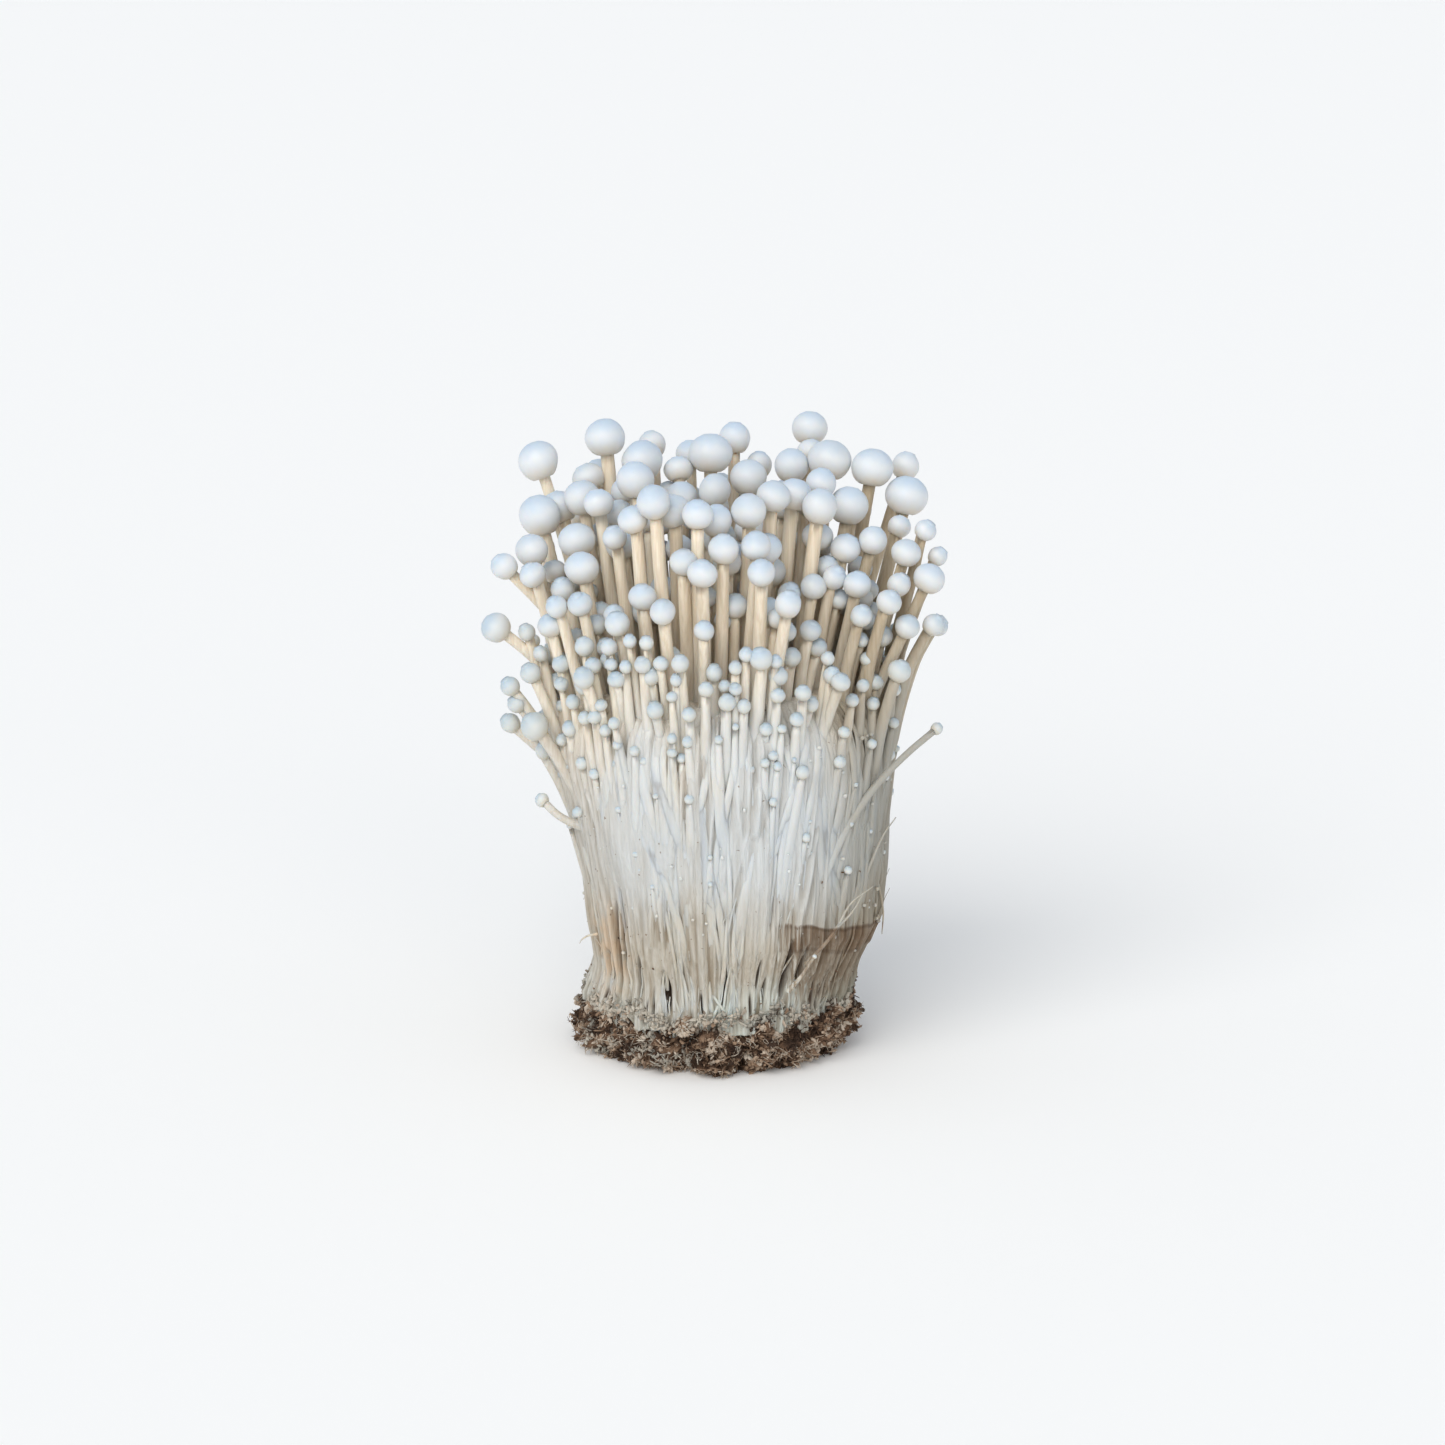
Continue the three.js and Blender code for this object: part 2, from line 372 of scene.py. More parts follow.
# What tints the stems. Heights and distances are in metres, and colours are as on a paint card.
stemLook = {
    "wander": 0.014,  # how far the levels wander up and down
    "tallest": 0.16,
    "byHeight": (  # shares of the tallest: mint-white feet, beige fibres, cream above
        (0.10, (196, 199, 194)), (0.16, (204, 204, 198)), (0.21, (198, 194, 184)), (0.31, (199, 195, 185)),
        (0.42, (205, 202, 194)), (0.52, (224, 219, 209)), (0.62, (239, 231, 216)), (1.0, (241, 227, 204)),
    ),
    "streaks": {"share": 0.4, "colour": (204, 190, 166)},
    "tones": {"share": 0.24, "colour": (222, 206, 180)},
    "web": {"rises": (0.036, 0.064), "falls": (0.12, 0.086), "clouds": (0.3, 0.56),
            "thinOnLeft": (-0.036, -0.014, 0.25, 1.0), "share": 0.78, "colour": (206, 211, 213)},
    "mint": {"falls": (0.034, 0.024), "clouds": (0.46, 0.62), "share": 0.55, "colour": (194, 205, 197)},
    # partly painted shade on the right, away from the lamps, and partly the browner strands there
    "rightSideShadeAndTan": {"wander": 0.012, "across": (0.026, 0.045, 0.0, 0.85), "colour": (196, 190, 178)},
    "ochre": {"middle": (-0.0262, -0.024, 0.0285), "stretch": (1.0, 0.6, 0.5), "reach": (0.0095, 0.002),
              "patches": (0.34, 0.6), "share": 0.46, "colour": (216, 180, 140)},
}

# The mark of a collar low on the right: sharp above, with a brown band under its edge, fading below.
# It runs aslant across the front, and level round the side and back.
collarLook = {
    "slope": 0.32,
    "levelBehind": -0.016,
    "wander": 0.0044,
    "patchy": 0.0012,
    "topEdge": (0.0310, 0.0301),
    "fadesBelow": (0.019, 0.029),
    "leftEnd": (0.0185, 0.0262),
    "leftEndRagged": 0.006,
    "dirt": {"mottle": (0.2, 0.75, 0.6, 1.0), "colour": (136, 122, 104)},
    "band": {"edge": (0.0229, 0.0259), "mottle": (0.2, 0.8, 0.35, 0.75), "colour": (116, 92, 68)},
    "upperLine": (0.0293, 0.0301),
    "lowerLine": ((0.0236, 0.0242), (0.0252, 0.0246)),
    "lowerLineShare": 0.6,
    "lines": {"share": 0.55, "colour": (80, 60, 44)},
}


def makeStemTint():
    group, given, result = newGroup(
        "stemTint",
        [("Place", "Vector", None), ("Streak", "Float", 0.5), ("Tone", "Float", 0.5)],
        [("Colour", "Color"), ("Web", "Float")],
    )
    place, streak = given["Place"], given["Streak"]
    at = axesOf(group, place)
    wander = noise(group, place, 55.0, Detail=3.0)
    drawnOut = vectorMaths(group, "MULTIPLY", place, (1.0, 1.0, 0.4))
    cloud = noise(group, drawnOut, 34.0, Detail=3.0, Roughness=0.6)
    patchy = noise(group, place, 230.0, Detail=2.0)
    level = plus(group, at["Z"], times(group, wander, stemLook["wander"]))

    def tint(look, share, under, how="MIX"):
        if "share" in look:
            share = times(group, share, look["share"])
        return blendColour(group, share, under, paint(*look["colour"]), how)

    stops = [(share, paint(*colour)) for share, colour in stemLook["byHeight"]]
    colour = colourRamp(group, times(group, level, 1 / stemLook["tallest"]), stops)
    colour = tint(stemLook["streaks"], streak, colour, "MULTIPLY")
    colour = tint(stemLook["tones"], given["Tone"], colour, "MULTIPLY")

    look = stemLook["web"]
    web = times(group, remap(group, level, *look["rises"]), remap(group, level, *look["falls"]),
                remap(group, cloud, *look["clouds"]), remap(group, at["X"], *look["thinOnLeft"]))
    colour = tint(look, web, colour)
    look = stemLook["mint"]
    minted = times(group, remap(group, level, *look["falls"]), remap(group, cloud, *look["clouds"]))
    colour = tint(look, minted, colour)
    # the right side darkened: partly painted shade away from the lamps, partly browner strands
    look = stemLook["rightSideShadeAndTan"]
    across = plus(group, at["X"], times(group, wander, look["wander"]))
    colour = tint(look, remap(group, across, *look["across"]), colour, "MULTIPLY")

    look = stemLook["ochre"]
    away = vectorMaths(group, "SUBTRACT", place, look["middle"])
    away = vectorMaths(group, "MULTIPLY", away, look["stretch"])
    away = addNode(group, "VectorMath", {"operation": "LENGTH"}, i0=away).outputs["Value"]
    stain = times(group, remap(group, away, *look["reach"]), remap(group, patchy, *look["patches"]))
    colour = tint(look, stain, colour)

    look = collarLook
    slope = times(group, maths(group, "MINIMUM", at["Y"], look["levelBehind"]), look["slope"])
    uneven = plus(group, times(group, wander, look["wander"]), times(group, patchy, look["patchy"]))
    edge = plus(group, plus(group, at["Z"], slope), uneven)
    leftEnd = plus(group, at["X"], times(group, streak, look["leftEndRagged"]))
    collar = times(group, remap(group, edge, *look["topEdge"]), remap(group, level, *look["fadesBelow"]),
                   remap(group, leftEnd, *look["leftEnd"]))
    mottle = times(group, plus(group, patchy, streak), 0.5)
    colour = tint(look["dirt"], times(group, collar, remap(group, mottle, *look["dirt"]["mottle"])), colour)
    band = times(group, collar, remap(group, edge, *look["band"]["edge"]),
                 remap(group, mottle, *look["band"]["mottle"]))
    colour = tint(look["band"], band, colour)
    lowerLine = times(group, *(remap(group, edge, *ends) for ends in look["lowerLine"]),
                      look["lowerLineShare"])
    lines = maths(group, "MAXIMUM", remap(group, edge, *look["upperLine"]), lowerLine)
    colour = tint(look["lines"], times(group, lines, collar), colour)
    group.links.new(colour, result["Colour"])
    group.links.new(web, result["Web"])
    return group


def addGroup(tree, group, **inputs):
    node = tree.nodes.new("ShaderNodeGroup")
    node.node_tree = group
    for name, value in inputs.items():
        if isinstance(value, bpy.types.NodeSocket):
            tree.links.new(value, node.inputs[name])
        else:
            node.inputs[name].default_value = value
    return node.outputs


def newMaterial(name, **fixed):
    material = bpy.data.materials.new(name)
    material.use_nodes = True
    tree = material.node_tree
    shader = tree.nodes["Principled BSDF"]
    for socket, value in fixed.items():
        shader.inputs[socket.replace("_", " ")].default_value = value
    place = addNode(tree, "TexCoord").outputs["Object"]
    return material, tree, shader, place


def mark(tree, name):
    return addNode(tree, "Attribute", {"attribute_name": name}).outputs["Fac"]


fibreGrain = makeFibreGrain()
stemTint = makeStemTint()


# Satin buttons on pale fibrous stems, with painted light: a warm bounce from below on the rim underneath, and
# a cool sky light on the top.
buttonLook = {
    # painted warm bounce from the stems below, on the rim underneath
    "rim": (219, 207, 188),
    "side": (218, 222, 225),
    # painted cool sky light on the top
    "top": (185, 203, 219),
    "toned": (216, 212, 202),
    "pits": (196, 186, 172),
    "crownShade": (240, 241, 237),  # painted shade laid over the buttons low down, as if the crown above shades them
    "crownShadeBelow": (0.128, 0.096),
}


def makeMushroomSkin():
    material, tree, shader, place = newMaterial(
        "mushroomSkin", Subsurface_Weight=0.4, Subsurface_Radius=(1.0, 0.72, 0.48), Subsurface_Scale=0.0018,
        Specular_IOR_Level=0.42, Sheen_Weight=0.04, Sheen_Roughness=0.5)
    cap, rise, tone = mark(tree, "cap"), mark(tree, "rise"), mark(tree, "tone")
    colours = {name: paint(*look) for name, look in buttonLook.items() if len(look) == 3}
    grain = addGroup(tree, fibreGrain, Place=place, Across=1300.0, Along=40.0)
    stem = addGroup(tree, stemTint, Place=place, Streak=grain["Streak"], Tone=tone)["Colour"]

    cloud = noise(tree, place, 260.0, Detail=3.0)
    pits = noise(tree, place, 1500.0, Detail=3.0)
    rising = plus(tree, rise, times(tree, cloud, 0.5))
    # painted light: the warm bounce on the rim underneath, then the cool sky light over the top
    button = blendColour(tree, remap(tree, rising, -0.75, 0.25), colours["rim"], colours["side"])
    button = blendColour(tree, remap(tree, rising, 0.35, 1.2, 0.0, 0.9), button, colours["top"])
    button = blendColour(tree, times(tree, tone, 0.22), button, colours["toned"])
    button = blendColour(tree, remap(tree, pits, 0.66, 0.8, 0.0, 0.2), button, colours["pits"])
    # painted shade: the buttons low down are darkened as if under the crown
    crownShadeShare = remap(tree, axesOf(tree, place)["Z"], *buttonLook["crownShadeBelow"])
    button = blendColour(tree, crownShadeShare, button, colours["crownShade"], "MULTIPLY")
    tree.links.new(blendColour(tree, cap, stem, button), shader.inputs["Base Color"])

    satin = remap(tree, cloud, 0.3, 0.7, 0.36, 0.5)
    rough = addNode(tree, "Mix", {"data_type": "FLOAT"}, i0=cap, i2=0.58, i3=satin).outputs[0]
    tree.links.new(rough, shader.inputs["Roughness"])

    ribbed = times(tree, plus(tree, grain["Streak"], grain["Fine"]), maths(tree, "SUBTRACT", 1.0, cap))
    height = plus(tree, times(tree, ribbed, 0.5), times(tree, pits, 0.25))
    bump = addNode(tree, "Bump", Strength=0.4, Distance=0.00012, Height=height)
    tree.links.new(bump.outputs["Normal"], shader.inputs["Normal"])
    return material


# The stems where they have grown together, with painted shade: darker in the grooves, darkest in the gaps.
fusedLook = {
    "groove": (174, 156, 132),
    # painted shade inside the gaps between bundles
    "gap": (70, 54, 40),
    "speck": (112, 88, 66),
    "grooveShare": (0.75, 0.4),  # clear of the web, and under it
    # the painted shade in the grooves fades above these heights
    "lessShadeAbove": (0.068, 0.09, 1.0, 0.45),
}


def makeFusedFibres():
    material, tree, shader, place = newMaterial(
        "fusedFibres", Subsurface_Weight=0.15, Subsurface_Radius=(1.0, 0.7, 0.5), Subsurface_Scale=0.001,
        Specular_IOR_Level=0.35)
    groove, tone, gap = mark(tree, "groove"), mark(tree, "tone"), mark(tree, "gap")
    grain = addGroup(tree, fibreGrain, Place=place, Across=1300.0, Along=50.0)
    tinted = addGroup(tree, stemTint, Place=place, Streak=grain["Streak"], Tone=tone)
    # painted shade: darker in the grooves, less so under the web and up high
    shaded = times(tree, groove, remap(tree, tinted["Web"], 0.0, 1.0, *fusedLook["grooveShare"]),
                   remap(tree, axesOf(tree, place)["Z"], *fusedLook["lessShadeAbove"]))
    sunk = blendColour(tree, shaded, tinted["Colour"], paint(*fusedLook["groove"]), "MULTIPLY")
    # painted shade: the gaps painted nearly black
    gapShaded = blendColour(tree, gap, sunk, paint(*fusedLook["gap"]))
    specks = remap(tree, noise(tree, place, 900.0, Detail=1.0), 0.735, 0.77, 0.0, 0.7)
    speckled = blendColour(tree, specks, gapShaded, paint(*fusedLook["speck"]))
    tree.links.new(speckled, shader.inputs["Base Color"])
    tree.links.new(remap(tree, grain["Fine"], 0.0, 1.0, 0.52, 0.74), shader.inputs["Roughness"])
    height = plus(tree, grain["Streak"], times(tree, grain["Fine"], 0.6))
    bump = addNode(tree, "Bump", Strength=0.6, Distance=0.0003, Height=height)
    tree.links.new(bump.outputs["Normal"], shader.inputs["Normal"])
    return material


# Spent sawdust: brown and tan crumbs, greyed and whitened where the mould has run through it.
sawdustLook = {
    "wood": ((0.12, (46, 33, 25)), (0.3, (97, 74, 57)), (0.5, (146, 121, 99)), (0.7, (175, 155, 135)),
             (0.92, (200, 187, 171))),
    "stain": (58, 42, 30),
    "mould": (184, 180, 168),
}


def makeSawdust():
    material, tree, shader, place = newMaterial("sawdust", Specular_IOR_Level=0.25)
    tone, mould = mark(tree, "tone"), mark(tree, "mould")
    coarse = noise(tree, place, 380.0, Detail=4.0, Roughness=0.65)
    fine = noise(tree, place, 1900.0, Detail=3.0, Roughness=0.7)
    mixed = plus(tree, times(tree, tone, 0.72), times(tree, fine, 0.3))
    wood = colourRamp(tree, mixed, [(share, paint(*colour)) for share, colour in sawdustLook["wood"]])
    stained = blendColour(tree, remap(tree, coarse, 0.56, 0.72, 0.0, 0.7), wood, paint(*sawdustLook["stain"]))
    patchy = times(tree, maths(tree, "SUBTRACT", coarse, 0.5), 1.4)
    white = remap(tree, plus(tree, mould, patchy), 0.45, 1.05, 0.0, 0.8)
    whitened = blendColour(tree, white, stained, paint(*sawdustLook["mould"]))
    tree.links.new(whitened, shader.inputs["Base Color"])
    tree.links.new(remap(tree, fine, 0.3, 0.7, 0.75, 0.98), shader.inputs["Roughness"])
    height = plus(tree, coarse, times(tree, fine, 0.5))
    bump = addNode(tree, "Bump", Strength=0.8, Distance=0.0004, Height=height)
    tree.links.new(bump.outputs["Normal"], shader.inputs["Normal"])
    return material


mushroomSkin = makeMushroomSkin()
fusedFibres = makeFusedFibres()
sawdust = makeSawdust()
print("materials ready")

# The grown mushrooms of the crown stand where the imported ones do, and go on down into the fused mass.
crown = {
    "sunkTo": 61,  # height that their stems are carried down to
    "stemRings": 24,
    "wobble": 0.45,
    "swell": 1.04,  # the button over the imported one
    "footSwell": 1.25,
    "buttonTall": (0.86, 1.02),
    "ridgesBeyond": 0.9,  # share of the way out from which a stem shows as a ridge of the fused mass
}
ridgesFromStems = []  # stems low on the outside, which show as ridges of the fused mass


def readPacked(node):
    # rings of a packed mushroom from root to top: their middles and radii
    packed = bmesh.new()
    packed.from_mesh(node.data)
    bmesh.ops.remove_doubles(packed, verts=packed.verts, dist=1e-6)
    ends = [v for v in packed.verts if len(v.link_edges) == 8]
    layer = [min(ends, key=lambda v: v.co.z)]
    seen = set(layer)
    rings = []
    while layer:
        points = np.array([v.co for v in layer]) / millimetre
        centre = points.mean(0)
        rings.append((centre, np.linalg.norm(points - centre, axis=1).mean()))
        following = []
        for v in layer:
            for edge in v.link_edges:
                other = edge.other_vert(v)
                if other not in seen:
                    seen.add(other)
                    following.append(other)
        layer = following
    packed.free()
    return rings


def wobbled(line, size):
    # a slow wander from side to side that dies away at the top
    u, v = lineFrames(line)[1:]
    t = np.linspace(0, 1, len(line))
    fade = np.clip(1.25 - 1.25 * t, 0, 1)[:, None] * size
    a, b, c = rng.uniform(0, 6.28, 3)
    across, along = np.sin(5 * t + a), np.sin(7 * t + b) * np.cos(2 * t + c)
    return line + fade * (u * across[:, None] + v * along[:, None])


def growCrown():
    names = sorted(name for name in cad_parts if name.startswith("mushroom_"))
    for name in names:
        rings = readPacked(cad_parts[name])
        neck, top = rings[5][0], rings[10][0]
        axis = unit(top - neck)
        middle = (neck + top) / 2
        width = 2 * rings[7][1] * crown["swell"]
        tall = rng.uniform(*crown["buttonTall"])
        angle, share = flowPlace(rings[1][0])
        sunk = [flowPoint(angle, share * 0.985, z) for z in (crown["sunkTo"], crown["sunkTo"] + 9)]
        end = middle - axis * width / 2 * tall * mushroomShape["stemDepth"]
        line = smoothLine([*sunk, *(rings[k][0] for k in (2, 3, 4)), end], crown["stemRings"])
        line = wobbled(line, crown["wobble"])
        t = np.linspace(0, 1, len(line))
        swell = crown["footSwell"] - (crown["footSwell"] - 1) * smooth(0, 0.7, t)
        radii = rings[5][1] * swell * rng.uniform(0.98, 1.12)
        remember(line, radii, middle, width)
        if share > crown["ridgesBeyond"]:
            ridgesFromStems.append((line, radii))
        heap = Heap()
        growMushroom(heap, line, radii, middle, axis, width, tall, rng.uniform(0, 1))
        piece = heap.make("grown_" + name, mushroomSkin)
        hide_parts(name)
    print("crown:", len(names), "mushrooms")


growCrown()

# Mushrooms too slight to be packed one by one. Across, back, height of the button's middle, button width.
companions = {
    "plan": (
        (-15, 31, 146, 7), (11, 31, 141, 7), (23, 28, 145, 7), (-9, 20, 142, 7.2), (-31, 20, 140, 8.2),
        (-22, 13, 138, 7), (-38.5, 16, 134, 8.9), (-5.6, 9, 134, 6.7), (21.6, 12, 134, 6),
        (46, 10, 130, 6.2), (-0.5, 2, 130, 7.4), (32, -1, 127, 7.2), (51, 0, 131, 5.7),
        (54.5, 0, 124, 5), (-44, -8, 121.5, 6.7), (29, -9, 121, 6.2), (46, -9, 119, 6),
        (18, -10, 117, 6), (-7.5, -9, 118, 5), (-32, -17, 116.5, 6.2), (-36, -17, 115, 5.5),
        (-17.6, -5, 112, 7.4), (-0.8, -17, 118, 5.5), (2.6, -17, 113, 4.7), (35, -17, 114, 5.7),
        (41, -17, 116.5, 6), (53, -10, 109.5, 5.2), (17, -19, 110, 5.2), (23, -19, 110, 5.7),
        (53.6, -5, 108, 5.6), (-49.6, -8, 94, 4.8), (-48, -9, 89.5, 4.6), (-49.6, -7, 84.5, 5),
        (-43, -14, 86, 7), (44, -16, 100, 5.6), (-45, -14, 98.5, 5),
    ),
    "startHeight": 62,
    "shifts": (0.6, 1.2, 0.5),  # how far each may move to stand clear of the others
    "tries": 5,
}

# The young ones on the front, lowest and smallest outermost.
# Across, height of the button's middle, button width.
youngFront = {
    "plan": (
        (-31, 107, 4.8), (-25, 108, 4.1), (-20, 110, 3.3), (-16, 110, 3.5), (-8, 106, 4.5), (5, 105, 3.5),
        (7.5, 108, 3.7), (11, 107, 5.4), (14.5, 106, 3.3), (-37, 101, 4.5), (-29, 103, 4.3), (-24.5, 104, 3.3),
        (-21, 104, 3.1), (-17, 105, 4.1), (-9, 102, 3.1), (-2, 100, 3.5), (5, 100, 3.3), (27, 105, 3.3),
        (28, 101, 4.3), (37, 102, 3.8), (-31, 98, 4.5), (-27, 94, 3.1), (-10, 98, 2.8), (-6, 94, 3.6),
        (3, 97, 4.1), (7, 96, 3.5), (15, 98, 3.6), (21, 98, 4.1), (-34, 93, 3.6), (-31, 90, 3.5),
        (-28.5, 91, 3.8), (-26, 88, 3), (-10, 88, 2.6), (1, 88, 2.1), (5, 91, 1.7), (16, 90, 2.3),
        (19.5, 92, 3.6), (43, 89, 3.3), (-37, 82, 3.1), (-35, 86, 3.8), (-23, 85, 2.6), (-19, 84, 2.5),
        (-10, 84.5, 2.5), (12, 82, 2.3), (15, 81, 2.3), (19, 82, 1.3), (31, 87, 3), (38, 82, 2.6),
        (-42, 77, 4.3), (-32, 78, 3.1), (-29, 76, 2.6), (21, 79, 3.3), (30, 80, 3), (43, 76, 2.8),
        (-38, 71, 2.8), (-36, 75, 2.3), (-14, 73, 1.5), (-6, 73, 2.4), (14, 72, 2.1), (34, 73, 1.3),
        (42, 71, 1.8), (-33, 64, 2.6), (-23, 68, 1.8), (23, 66, 1.2), (33, 63, 1.5), (22, 62, 2.3),
        (38, 59, 1.3), (-29, 51, 1.6), (-19, 57, 1.8), (-18, 53, 1.3), (-1, 51, 1.3), (-15, 49, 1.2),
        (-1, 58, 1.3), (-41, 94, 3.4), (39, 96, 4.2), (33, 94, 3.4),
    ),
    # the stems come up in fans from these places low on the front: across, height
    "fans": ((-29, 42), (-21, 36), (-12, 40), (-4, 34), (4, 38), (12, 34), (19, 40), (26, 48), (31, 36)),
    # share of the way out, by height
    "standOff": ((45, 1.012), (78, 1.01), (90, 0.975), (100, 0.915), (106, 0.87), (112, 0.81)),
}

# The rest of the bunch is filled at random in rings, each shorter and smaller than the one inside it.
filling = {
    "rings": (
        # share out, how many, heights, button widths, chance of being kept in front
        (1.008, 84, (48, 88), (1.2, 3.0), 0.12),
        (0.975, 84, (78, 100), (2.2, 4.4), 0.3),
        (0.92, 70, (88, 108), (3.2, 5.2), 0.25),
        (0.89, 56, (97, 107), (2.4, 4.0), 0.5),
        (0.95, 56, (102, 126), (4.2, 6.6), 0.0),
        (1.0, 40, (92, 128), (3.6, 6.8), 0.0),
        (0.82, 56, (98, 120), (4.0, 6.4), 0.3),
        (0.68, 50, (104, 128), (4.8, 7.0), 0.5),
        (0.74, 36, (124, 142), (6.0, 8.8), 0.0),
        (0.56, 40, (120, 143), (6.0, 8.8), 0.7),
        (0.38, 30, (118, 144), (6.4, 9.0), 1.0),
        (0.18, 16, (114, 142), (6.0, 8.6), 1.0),
    ),
    "tries": 14,
    "overlapAllowed": 0.25,
}

youngHeaps = {}


def neckRadius(width):
    return min(0.24 + 0.21 * width, 0.9 + 0.08 * width)


def stemPath(middle, axis, width, tall, startHeight, count, spread=2.0, rootShare=None, turn=0.0):
    # along the flow of the bunch, then bending over to where the button is
    end = middle - axis * width / 2 * tall * mushroomShape["stemDepth"]
    angle, share = flowPlace(end)
    if rootShare is None:
        rootShare = min(share * 0.9, 0.97)
    rootShare = min(rootShare, share) if share < 1 else rootShare
    heights = np.linspace(startHeight, end[2], count)
    t = (heights - startHeight) / max(end[2] - startHeight, 1)
    shares = rootShare + (share - rootShare) * t ** spread
    if rootShare > 0.93:  # on the outside, the foot sinks into the fused mass
        shares = shares - 0.03 * (1 - smooth(0, 0.4, t))
    angles = angle + turn * (1 - t) ** 1.3
    return smoothLine(flowPoint(angles, shares, heights), count)


def plant(middle, width, startHeight, spread=2.0, rootShare=None, turn=0.0, footRadius=None, lean=0.5,
          rings=22):
    tall = rng.uniform(0.88, 1.04)
    outward = (middle - [*plantMiddle, middle[2]]) / 45  # about 1 long at the edge of the bunch
    axis = unit(np.array([0, 0, 1.0]) + outward * lean + rng.normal(size=3) * 0.1)
    line = wobbled(stemPath(middle, axis, width, tall, startHeight, rings, spread, rootShare, turn), 0.35)
    neck = neckRadius(width)
    foot = footRadius or neck * 1.25
    t = np.linspace(0, 1, rings)
    radii = foot + (neck - foot) * t ** 1.15
    return line, radii, middle, axis, width, tall


def settle(planted, group, flattened=False):
    line, radii, middle, axis, width, tall = planted
    remember(line, radii, middle, width)
    squash = outward = None
    if flattened:  # like a ribbon low down, round at the neck
        squash = 0.5 + 0.5 * smooth(0.35, 0.95, np.linspace(0, 1, len(line)))
        outward = line - [*plantMiddle, 0]
        outward[:, 2] = 0
        outward /= np.linalg.norm(outward, axis=1)[:, None]
    heap = youngHeaps.setdefault(group, Heap())
    growMushroom(heap, line, radii, middle, axis, width, tall, rng.uniform(0, 1), squash, outward)


def areaOf(angle):
    sector = int(((angle - front + math.pi / 6) % (2 * math.pi)) / (math.pi / 3))
    return ("front", "front_right", "back_right", "back", "back_left", "front_left")[sector]


def growCompanions():
    for across, back, height, width in companions["plan"]:
        middle = np.array([across + plantMiddle[0], back + plantMiddle[1], height], float)
        options = []
        for k in range(companions["tries"]):
            shifted = middle + (rng.normal(size=3) * companions["shifts"] if k else 0)
            planted = plant(shifted, width, companions["startHeight"], spread=1.8, lean=0.7)
            options.append((crowding(*planted[:3], width), k, planted))
        best = min(options, key=lambda o: o[0] + 0.05 * o[1])
        settle(best[2], "companions_" + ("left" if across < 0 else "right"))
    print("companions:", len(companions["plan"]))


def growYoungFront():
    for across, height, width in youngFront["plan"]:
        share = np.interp(height, *zip(*youngFront["standOff"]))
        middle = flowPoint(angleAcross(across, share, height), share, height)
        middle[0] = across + plantMiddle[0]
        middle[1] -= width * 0.35
        fan, start = min(youngFront["fans"], key=lambda f: abs(f[0] - across * 0.8) + rng.uniform(0, 5))
        start = min(start + rng.uniform(-6, 6), height - 18)
        footAcross = across * 0.35 + fan * 0.65
        turn = angleAcross(footAcross, 1, start) - angleAcross(across, share, height)
        neck = neckRadius(width)
        planted = plant(middle, width, start, spread=2.6, rootShare=min(share - 0.004, 0.985),
                        turn=turn, footRadius=neck + rng.uniform(1.2, 2.1), lean=0.35)
        side = "left" if across < -14 else "middle" if across < 14 else "right"
        settle(planted, "young_front_" + side, flattened=True)
        if share > 0.93:
            ridgesFromStems.append((planted[0], planted[1]))
    print("young ones in front:", len(youngFront["plan"]))


def fillBunch():
    kept = 0
    for share, count, heights, widths, frontChance in filling["rings"]:
        for k in range(count):
            angle = (k + rng.uniform(-0.35, 0.35)) * 2 * math.pi / count
            options = []
            inFront = math.cos(angle - front) > 0.35
            if inFront and rng.random() > frontChance:
                continue
            outside = share > 0.93
            for _ in range(filling["tries"]):
                level = rng.uniform(0, 1)
                height = heights[0] + (heights[1] - heights[0]) * level
                width = widths[0] + (widths[1] - widths[0]) * np.clip(level + rng.normal() * 0.2, 0, 1)
                place = share + rng.normal() * 0.02
                middle = flowPoint(angle + rng.normal() * 0.03, place, height)
                middle += rng.normal(size=3) * (0.7, 0.7, 0)
                start = max(height - rng.uniform(30, 46), 16) if outside else 66
                foot = neckRadius(width) + rng.uniform(1.0, 1.7) if outside else None
                rootShare = min(place - 0.01, 0.985) if outside else None
                planted = plant(middle, width, start, spread=2.4, rootShare=rootShare,
                                turn=rng.normal() * 0.07, footRadius=foot, lean=0.4, rings=18)
                worst = crowding(*planted[:3], width)
                options.append((worst, planted))
                if worst < 0:
                    break
            worst, planted = min(options, key=lambda o: o[0])
            if worst > filling["overlapAllowed"]:
                continue
            kept += 1
            group = "young_" + areaOf(angle) if outside else "crowd_" + areaOf(angle)
            settle(planted, group, flattened=outside)
            if outside:
                ridgesFromStems.append((planted[0], planted[1]))
        print("filling out to", share, "of the way:", kept, "so far")


growCompanions()
growYoungFront()
fillBunch()
for group, heap in youngHeaps.items():
    piece = heap.make(group, mushroomSkin)

